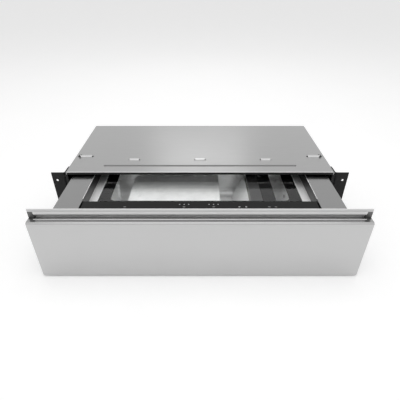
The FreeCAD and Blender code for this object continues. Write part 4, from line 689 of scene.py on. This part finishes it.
class SEALDRAWER_OT_steel(bpy.types.Operator):
    """Finish the housing, front, side strips and chamber in their sheet steels"""
    bl_idname = "sealdrawer.steel"
    bl_label = "Steel sheets"

    def execute(self, context):
        look = context.scene.sealdrawer_finishes
        sizes = context.scene.sealdrawer_sizes
        top = {name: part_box(name)[1].z for name in (
            "housing_top_cover", "front_panel", "grip_rail", "side_strip_left", "vacuum_chamber",
        )}
        # How far below its top each sheet changes colour: painted shade on the front's ledge, painted light
        # on the grip's slope, painted shade on the strips' walls.
        ledge, bend, wall = 0.3 * MM, 6.0 * MM, 0.6 * MM
        dress("housing_steel", satin_steel("housing_satin", look.housing_tone, look.housing_gloss))
        # Painted highlights on the cover's bridges and bead.
        dress_node("housing_top_cover", cover_steel(
            "cover_satin", look.housing_tone, look.housing_gloss,
            top["housing_top_cover"] - sizes.comb_proud, look.bridge_highlight_tone, look.bead_highlight_tone,
        ))
        dress("panel_steel", folded_front(
            "front_satin", look.front_tone, look.front_gloss, look.ledge_shade_tone, top["front_panel"] - ledge,
        ))
        # Painted light: the grip rail's slope, 6 mm below its top, is lighter than the lip.
        dress_node("grip_rail", two_tone_steel(
            "grip_satin", look.grip_tone, 0.40, look.slope_light_tone, 0.60, top["grip_rail"] - bend, streak=0.02,
        ))
        # Painted shade: below their tops the strips' inner walls are near black.
        dress("strip_steel", two_tone_steel(
            "strip_satin", look.strip_tone, 0.22, look.wall_shade_tone, 0.32, top["side_strip_left"] - wall,
        ))
        # Painted light: the tub below the deck is lighter than the deck, to make up for its shade.
        dress("chamber_steel", two_tone_steel(
            "chamber_polish", look.chamber_tone, 0.5, look.tub_light_tone, look.chamber_gloss,
            top["vacuum_chamber"], metal=0.5,
        ))
        dress("insert_plastic", powder_coat(
            "insert_plate_skin", look.insert_tone, 0.32, pebble=1100.0, relief=0.1,
        ))
        dress_node("bag_ramp", satin_steel("ramp_blasted", (0.92, 0.92, 0.92), 0.6, metal=0.0))
        # Painted shade: the channel's floor and end caps are dark to stand in for the shade there.
        groove = satin_steel("groove_satin", look.groove_shade_tone, 0.30)
        for node in ("grip_floor", "grip_end_caps"):
            dress_node(node, groove)
        dress("inner_steel", galvanised("inner_zinc_sheet", (0.50, 0.51, 0.52), 0.38))
        dress("hinge_steel", satin_steel(
            "hinge_satin", (0.45, 0.45, 0.46), 0.31, along=(900.0, 60.0, 900.0),
        ))
        return {"FINISHED"}


class SEALDRAWER_OT_brackets(bpy.types.Operator):
    """Coat the mounting brackets and the moulded and rubber pieces in black"""
    bl_idname = "sealdrawer.brackets"
    bl_label = "Black coat, mouldings and rubber"

    def execute(self, context):
        look = context.scene.sealdrawer_finishes
        dress("black_bracket", powder_coat("bracket_coat", look.bracket_tone, 0.45, ior=1.38))
        dress("plastic_black", powder_coat("moulded_black", (0.030, 0.030, 0.031), 0.42, pebble=1400.0))
        dress("rubber_black", powder_coat("rubber_skin", (0.016, 0.016, 0.017), 0.72, pebble=500.0))
        return {"FINISHED"}


class SEALDRAWER_OT_seals(bpy.types.Operator):
    """Lay black seals on the housing's edges, and dark films and end caps that paint the shade at the
    cover's ribbed bridges
    """
    bl_idname = "sealdrawer.seals"
    bl_label = "Housing seals"

    def execute(self, context):
        sizes = context.scene.sealdrawer_sizes
        low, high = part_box("housing_top_cover")
        rubber = powder_coat("housing_seal_skin", (0.018, 0.018, 0.018), 0.7, pebble=700.0)
        sheet = high.z - sizes.comb_proud
        bottom = sheet - sizes.cover_lip
        window = (low.y + sizes.comb_front, low.y + sizes.comb_rear)
        # Gaps above the side seals and at the lip seal's ends; how far slots and caps pass the window.
        seal_gap, end_gap = 0.2 * MM, 1.5 * MM
        slot_lap, slot_reach, cap_margin = 1.0 * MM, 6.5 * MM, 0.3 * MM
        # A corner seal's middle: out from the cover's side, behind its front and below its sheet's top.
        corner_out, corner_behind, corner_drop = 0.9 * MM, 9.0 * MM, 0.3 * MM
        # The window's dark film, painted shade, lies between these depths in the cover's 1 mm sheet.
        film_bottom, film_top = 0.99 * MM, 0.8 * MM

        def lay(name, surface, smooth=False):
            make_piece(name, *surface, "housing", rubber, "rubber_black", smooth=smooth)

        lay("cover_lip_seal", bulged_strip(
            (low.x + end_gap, high.x - end_gap), (bottom, bottom + sizes.seal_height),
            low.y, sizes.seal_thickness,
        ))
        for side, name in ((-1, "left"), (1, "right")):
            edges = sorted((side * (high.x + sizes.side_seal_lap), side * (high.x - sizes.side_seal_width)))
            rise = (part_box("housing_base")[0].z + sizes.side_seal_foot, bottom - seal_gap)
            lay(f"side_seal_{name}", bulged_strip(rise, edges, low.y, sizes.seal_thickness, upright=True))
            # Painted shade: the dark films in and behind each bridge's window and the dark cap at its outer
            # end stand in for the shade there.
            middle = side * sizes.comb_place
            edges = (middle - sizes.comb_half, middle + sizes.comb_half)
            levels = (sheet - film_bottom, sheet - film_top)
            lay(f"comb_window_{name}", film(edges, window, levels, sizes.film_corner))
            edges = sorted(side * (sizes.comb_place + out) for out in (sizes.cap_inner, sizes.cap_outer))
            levels = (sheet + CLEAR, sheet + sizes.film_height)
            lay(f"comb_slot_{name}", film(
                edges, (window[1] - slot_lap, window[1] + slot_reach), levels, sizes.film_corner,
            ))
            levels = (sheet + sizes.film_height / 2, high.z - CLEAR)
            lay(f"comb_cap_{name}", film(
                edges, (window[0] - cap_margin, window[1] + cap_margin), levels, sizes.film_corner,
            ))
            middle = (side * (high.x + corner_out), low.y + corner_behind, sheet - corner_drop)
            lay(f"corner_seal_{name}", hem(
                sizes.corner_seal_half, middle, sizes.corner_seal_radius, along_y=True,
            ), smooth=True)
        return {"FINISHED"}


class SEALDRAWER_OT_edges(bpy.types.Operator):
    """Lay fine rounded bright edges along the ledge, the cover, the side strips and the lid: on the steel
    their light colour is a painted highlight, on the lid it is partly the ground glass's own pale colour and
    partly a painted highlight
    """
    bl_idname = "sealdrawer.edges"
    bl_label = "Bright edges"

    def execute(self, context):
        sizes = context.scene.sealdrawer_sizes
        look = context.scene.sealdrawer_finishes
        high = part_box("front_panel")[1]
        middle = (high.y - sizes.hem_radius, high.z - sizes.hem_radius * 0.3)
        # Painted highlight: the hem behind the ledge is lighter than the ledge.
        bright = satin_steel("hem_satin", (0.80, 0.80, 0.80), 0.30, streak=0.02, relief=0.02)
        ledge = hem(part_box("grip_floor")[1].x, middle, sizes.hem_radius)
        make_piece("ledge_hem", *ledge, "drawer", bright, "panel_steel")

        # The other edges lie sunk in their sheet and stand out of it by part of their radius.
        # Painted highlight: the cover's and strips' edges are much lighter than their sheets.
        bare = satin_steel("bare_edge_satin", look.edge_tone, 0.35, streak=0.02, relief=0.02)
        radius = sizes.edge_radius
        end_gap = 2.0 * MM
        low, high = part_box("housing_top_cover")
        sunk = radius * 0.8
        cover = hem(high.x - end_gap, (low.y + sunk, high.z - sizes.comb_proud - sunk), radius)
        make_piece("cover_edge", *cover, "housing", bare, "housing_steel")

        low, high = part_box("side_strip_right")
        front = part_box("control_glass")[1].y + 1.0 * MM
        sunk = radius * 0.6
        for side, name in ((-1, "left"), (1, "right")):
            middle = (side * (low.x + sunk), (front + high.y) / 2, high.z - sunk)
            strip = hem((high.y - front) / 2 - end_gap, middle, radius, along_y=True)
            make_piece(f"strip_edge_{name}", *strip, "drawer", bare, "strip_steel")

        low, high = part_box("lid_glass")
        ground = powder_coat("ground_glass_edge", look.edge_tone, 0.5, pebble=2000.0, relief=0.05)
        sunk = radius * 0.7
        half = (high.y - low.y) / 2 - sizes.lid_corner - end_gap
        for side, name in ((-1, "left"), (1, "right")):
            middle = (side * (high.x - sunk), (low.y + high.y) / 2, high.z - sunk)
            glass = hem(half, middle, sunk, along_y=True)
            make_piece(f"lid_edge_{name}", *glass, "lid", ground, "lid_glass")
        return {"FINISHED"}


class SEALDRAWER_OT_rails(bpy.types.Operator):
    """Finish the telescopic rails and the screws, and put balls into the ball strips"""
    bl_idname = "sealdrawer.rails"
    bl_label = "Rails, balls and screws"

    def execute(self, context):
        dress("rail_steel", galvanised("rail_zinc", (0.56, 0.57, 0.58), 0.30))
        dress("rail_strip", satin_steel(
            "ball_strip_steel", (0.42, 0.40, 0.36), 0.35, along=(900.0, 40.0, 900.0),
        ))
        dress("screw_zinc", cast_metal("screw_zinc_plate", (0.60, 0.60, 0.59), 0.28))
        sizes = context.scene.sealdrawer_sizes
        polished = cast_metal("ball_polish", (0.72, 0.72, 0.72), 0.12)
        ball, ball_faces = ellipsoid([sizes.ball_radius] * 3, around=10, rows=6)
        for race in ("outer", "inner"):
            for side in ("left", "right"):
                strip = f"ball_strip_{race}_{side}"
                low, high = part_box(strip)
                run = np.arange(low.y + sizes.ball_pitch / 2, high.y, sizes.ball_pitch)
                level = np.array([low.z, high.z]) + np.array([1, -1]) * sizes.strip_height / 2
                place = np.stack(np.meshgrid([(low.x + high.x) / 2], run, level), axis=-1).reshape(-1, 3)
                points, faces = repeated(ball, ball_faces, place)
                make_piece(f"balls_{race}_{side}", points, faces, strip, polished, "rail_strip")
        return {"FINISHED"}


class SEALDRAWER_OT_gasket(bpy.types.Operator):
    """Replace the chamber's gasket by one with a crowned profile"""
    bl_idname = "sealdrawer.gasket"
    bl_label = "Chamber gasket"

    def execute(self, context):
        sizes = context.scene.sealdrawer_sizes
        low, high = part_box("chamber_gasket")
        half = sizes.gasket_width / 2
        path, outward = rounded_loop(
            low.x + half, high.x - half, low.y + half, high.y - half, sizes.gasket_corner,
        )
        ring = swept_ring(path, outward, *crowned_profile(sizes.gasket_width, low.z, high.z))
        rubber = powder_coat("gasket_skin", (0.020, 0.020, 0.021), 0.6, pebble=650.0)
        dress("gasket_rubber", rubber)
        gasket = make_piece("gasket_crowned", *ring, "drawer", rubber, "gasket_rubber")
        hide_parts("chamber_gasket")
        return {"FINISHED"}


class SEALDRAWER_OT_lid(bpy.types.Operator):
    """Finish the glass lid and print its border under the glass"""
    bl_idname = "sealdrawer.lid"
    bl_label = "Glass lid and its border"

    def execute(self, context):
        look = context.scene.sealdrawer_finishes
        sizes = context.scene.sealdrawer_sizes
        dress("lid_glass", clear_glass("lid_float_glass", look.lid_tone, 1.36))
        # The clear lid throws no shadow, so that lamps reach the chamber through it.
        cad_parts["lid_glass"].visible_shadow = False
        low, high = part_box("lid_glass")
        thin = sizes.border_thickness
        outer = inset_outline(low, high, sizes.border_edge, sizes.lid_corner)
        band = inset_outline(low, high, sizes.border_edge + thin, sizes.lid_corner)
        inner, _ = rounded_loop(
            low.x + sizes.border_side, high.x - sizes.border_side,
            low.y + sizes.border_front, high.y - sizes.border_rear, sizes.border_corner,
        )
        bottom = low.z + CLEAR
        rim = high.z - sizes.rim_drop
        # Across the ring: up the outer edge, back down its inner side, in under the glass and back.
        border = stacked_ring([
            (outer, bottom), (outer, rim), (band, rim),
            (band, bottom + thin), (inner, bottom + thin), (inner, bottom),
        ])
        ink = dark_glass("lid_print_ink", look.print_tone, 0.35, 1.15)
        make_piece("lid_border_print", *border, "lid", ink, "lid_glass", smooth=False)
        return {"FINISHED"}


class SEALDRAWER_OT_controls(bpy.types.Operator):
    """Finish the control strip and lay plain round touch marks on it"""
    bl_idname = "sealdrawer.controls"
    bl_label = "Control strip and touch marks"

    def execute(self, context):
        look = context.scene.sealdrawer_finishes
        sizes = context.scene.sealdrawer_sizes
        dress("control_glass", dark_glass("control_strip_glass", look.strip_glass_tone, 0.06, 1.22))
        low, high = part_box("control_glass")
        ink = powder_coat("touch_mark_ink", look.mark_tone, 0.5, relief=0.05)
        faint = powder_coat("faint_mark_ink", look.dash_tone, 0.5, relief=0.05)
        # Rows of marks: places along X and distance behind the strip's middle in mm, width over radius, and
        # ink. No mark is deeper than 1.4 times the radius.
        rows = {
            "upper_dots": ((-36.0, -28.0, -20.0, 16.0, 24.0, 32.0), 7.4, 1.0, ink),
            "lower_dashes": ((-28.0, 24.0, -132.0, 121.5, 133.0), -0.3, 2.4, faint),
            "lower_dots": ((69.0, 81.0), -0.3, 1.7, ink),
        }
        for name, (across, behind, wide, paint) in rows.items():
            count = len(across)
            along = (low.y + high.y) / 2 + behind * MM
            places = np.column_stack([np.array(across) * MM, np.full(count, along), np.full(count, high.z)])
            radii = (sizes.mark_radius * wide, sizes.mark_radius * min(wide, 1.4), sizes.mark_height)
            marks = repeated(*ellipsoid(radii, around=16, rows=6), places)
            make_piece(f"touch_{name}", *marks, "drawer", paint, "control_glass")
        return {"FINISHED"}


class SEALDRAWER_OT_sealing(bpy.types.Operator):
    """Finish the sealing bar, its heating band and its tape"""
    bl_idname = "sealdrawer.sealing"
    bl_label = "Sealing bar"

    def execute(self, context):
        dress("seal_aluminium", satin_steel(
            "seal_bar_aluminium", (0.68, 0.68, 0.69), 0.30, along=(700.0, 25.0, 700.0),
        ))
        dress_node("counter_bar_holder", satin_steel(
            "counter_bar_anodised", (0.38, 0.38, 0.385), 0.4, along=(700.0, 25.0, 700.0),
        ))
        dress("heating_alloy", satin_steel("heating_band_alloy", (0.40, 0.38, 0.36), 0.4))
        dress("seal_tape", woven_tape("sealing_tape_cloth", (0.30, 0.28, 0.25), 0.55))
        return {"FINISHED"}


class SEALDRAWER_OT_pump(bpy.types.Operator):
    """Finish the vacuum pump, its motor and its fan"""
    bl_idname = "sealdrawer.pump"
    bl_label = "Vacuum pump"

    def execute(self, context):
        dress("pump_alloy", cast_metal("pump_cast_alloy", (0.52, 0.52, 0.53), 0.42))
        dress("motor_enamel", powder_coat("motor_enamel_coat", (0.045, 0.047, 0.050), 0.35))
        dress("fan_plastic", powder_coat("fan_moulding", (0.10, 0.10, 0.105), 0.45))
        return {"FINISHED"}


class SEALDRAWER_OT_boards(bpy.types.Operator):
    """Finish the power board and the control board"""
    bl_idname = "sealdrawer.boards"
    bl_label = "Circuit boards"

    def execute(self, context):
        dress("board_green", circuit_board("board_laminate", (0.030, 0.115, 0.055), 0.35))
        return {"FINISHED"}


class SEALDRAWER_OT_stage(bpy.types.Operator):
    """Set the floor, the soft lights, the white surroundings and the camera"""
    bl_idname = "sealdrawer.stage"
    bl_label = "Floor, light and camera"

    def execute(self, context):
        scene = context.scene
        stage = scene.sealdrawer_stage
        paper_floor(stage)
        scene.world = white_room(stage.ambient)
        for name, place, target, width, depth, power in LAMPS:
            soft_lamp(name, place, target, width, depth, getattr(stage, power))
        scene.camera = photo_camera(stage)
        scene.view_settings.view_transform = "Standard"
        return {"FINISHED"}


class SEALDRAWER_PT_panel(bpy.types.Panel):
    """The drawer's finishes, pieces and stage"""
    bl_idname = "SEALDRAWER_PT_panel"
    bl_label = "Vacuum sealing drawer"
    bl_space_type = "VIEW_3D"
    bl_region_type = "UI"
    bl_category = "Drawer"

    def draw(self, context):
        for maker in MAKERS:
            self.layout.operator(maker.bl_idname)
        for group in (context.scene.sealdrawer_finishes, context.scene.sealdrawer_sizes,
                      context.scene.sealdrawer_stage):
            box = self.layout.box()
            for name in group.__annotations__:
                box.prop(group, name)


GROUPS = {
    "sealdrawer_finishes": SEALDRAWER_PG_finishes,
    "sealdrawer_sizes": SEALDRAWER_PG_sizes,
    "sealdrawer_stage": SEALDRAWER_PG_stage,
}
MAKERS = (
    SEALDRAWER_OT_steel,
    SEALDRAWER_OT_brackets,
    SEALDRAWER_OT_seals,
    SEALDRAWER_OT_edges,
    SEALDRAWER_OT_rails,
    SEALDRAWER_OT_gasket,
    SEALDRAWER_OT_lid,
    SEALDRAWER_OT_controls,
    SEALDRAWER_OT_sealing,
    SEALDRAWER_OT_pump,
    SEALDRAWER_OT_boards,
    SEALDRAWER_OT_stage,
)


def register():
    """Make the groups, the operators and the panel known to Blender."""
    for name, group in GROUPS.items():
        bpy.utils.register_class(group)
        setattr(bpy.types.Scene, name, bpy.props.PointerProperty(type=group))
    for maker in MAKERS:
        bpy.utils.register_class(maker)
    bpy.utils.register_class(SEALDRAWER_PT_panel)


def unregister():
    """Take them back in the reverse order."""
    bpy.utils.unregister_class(SEALDRAWER_PT_panel)
    for maker in reversed(MAKERS):
        bpy.utils.unregister_class(maker)
    for name, group in reversed(GROUPS.items()):
        delattr(bpy.types.Scene, name)
        bpy.utils.unregister_class(group)


def main():
    """Build every piece in order."""
    register()
    for maker in MAKERS:
        family, name = maker.bl_idname.split(".")
        getattr(getattr(bpy.ops, family), name)()


if __name__ == "__main__":
    main()
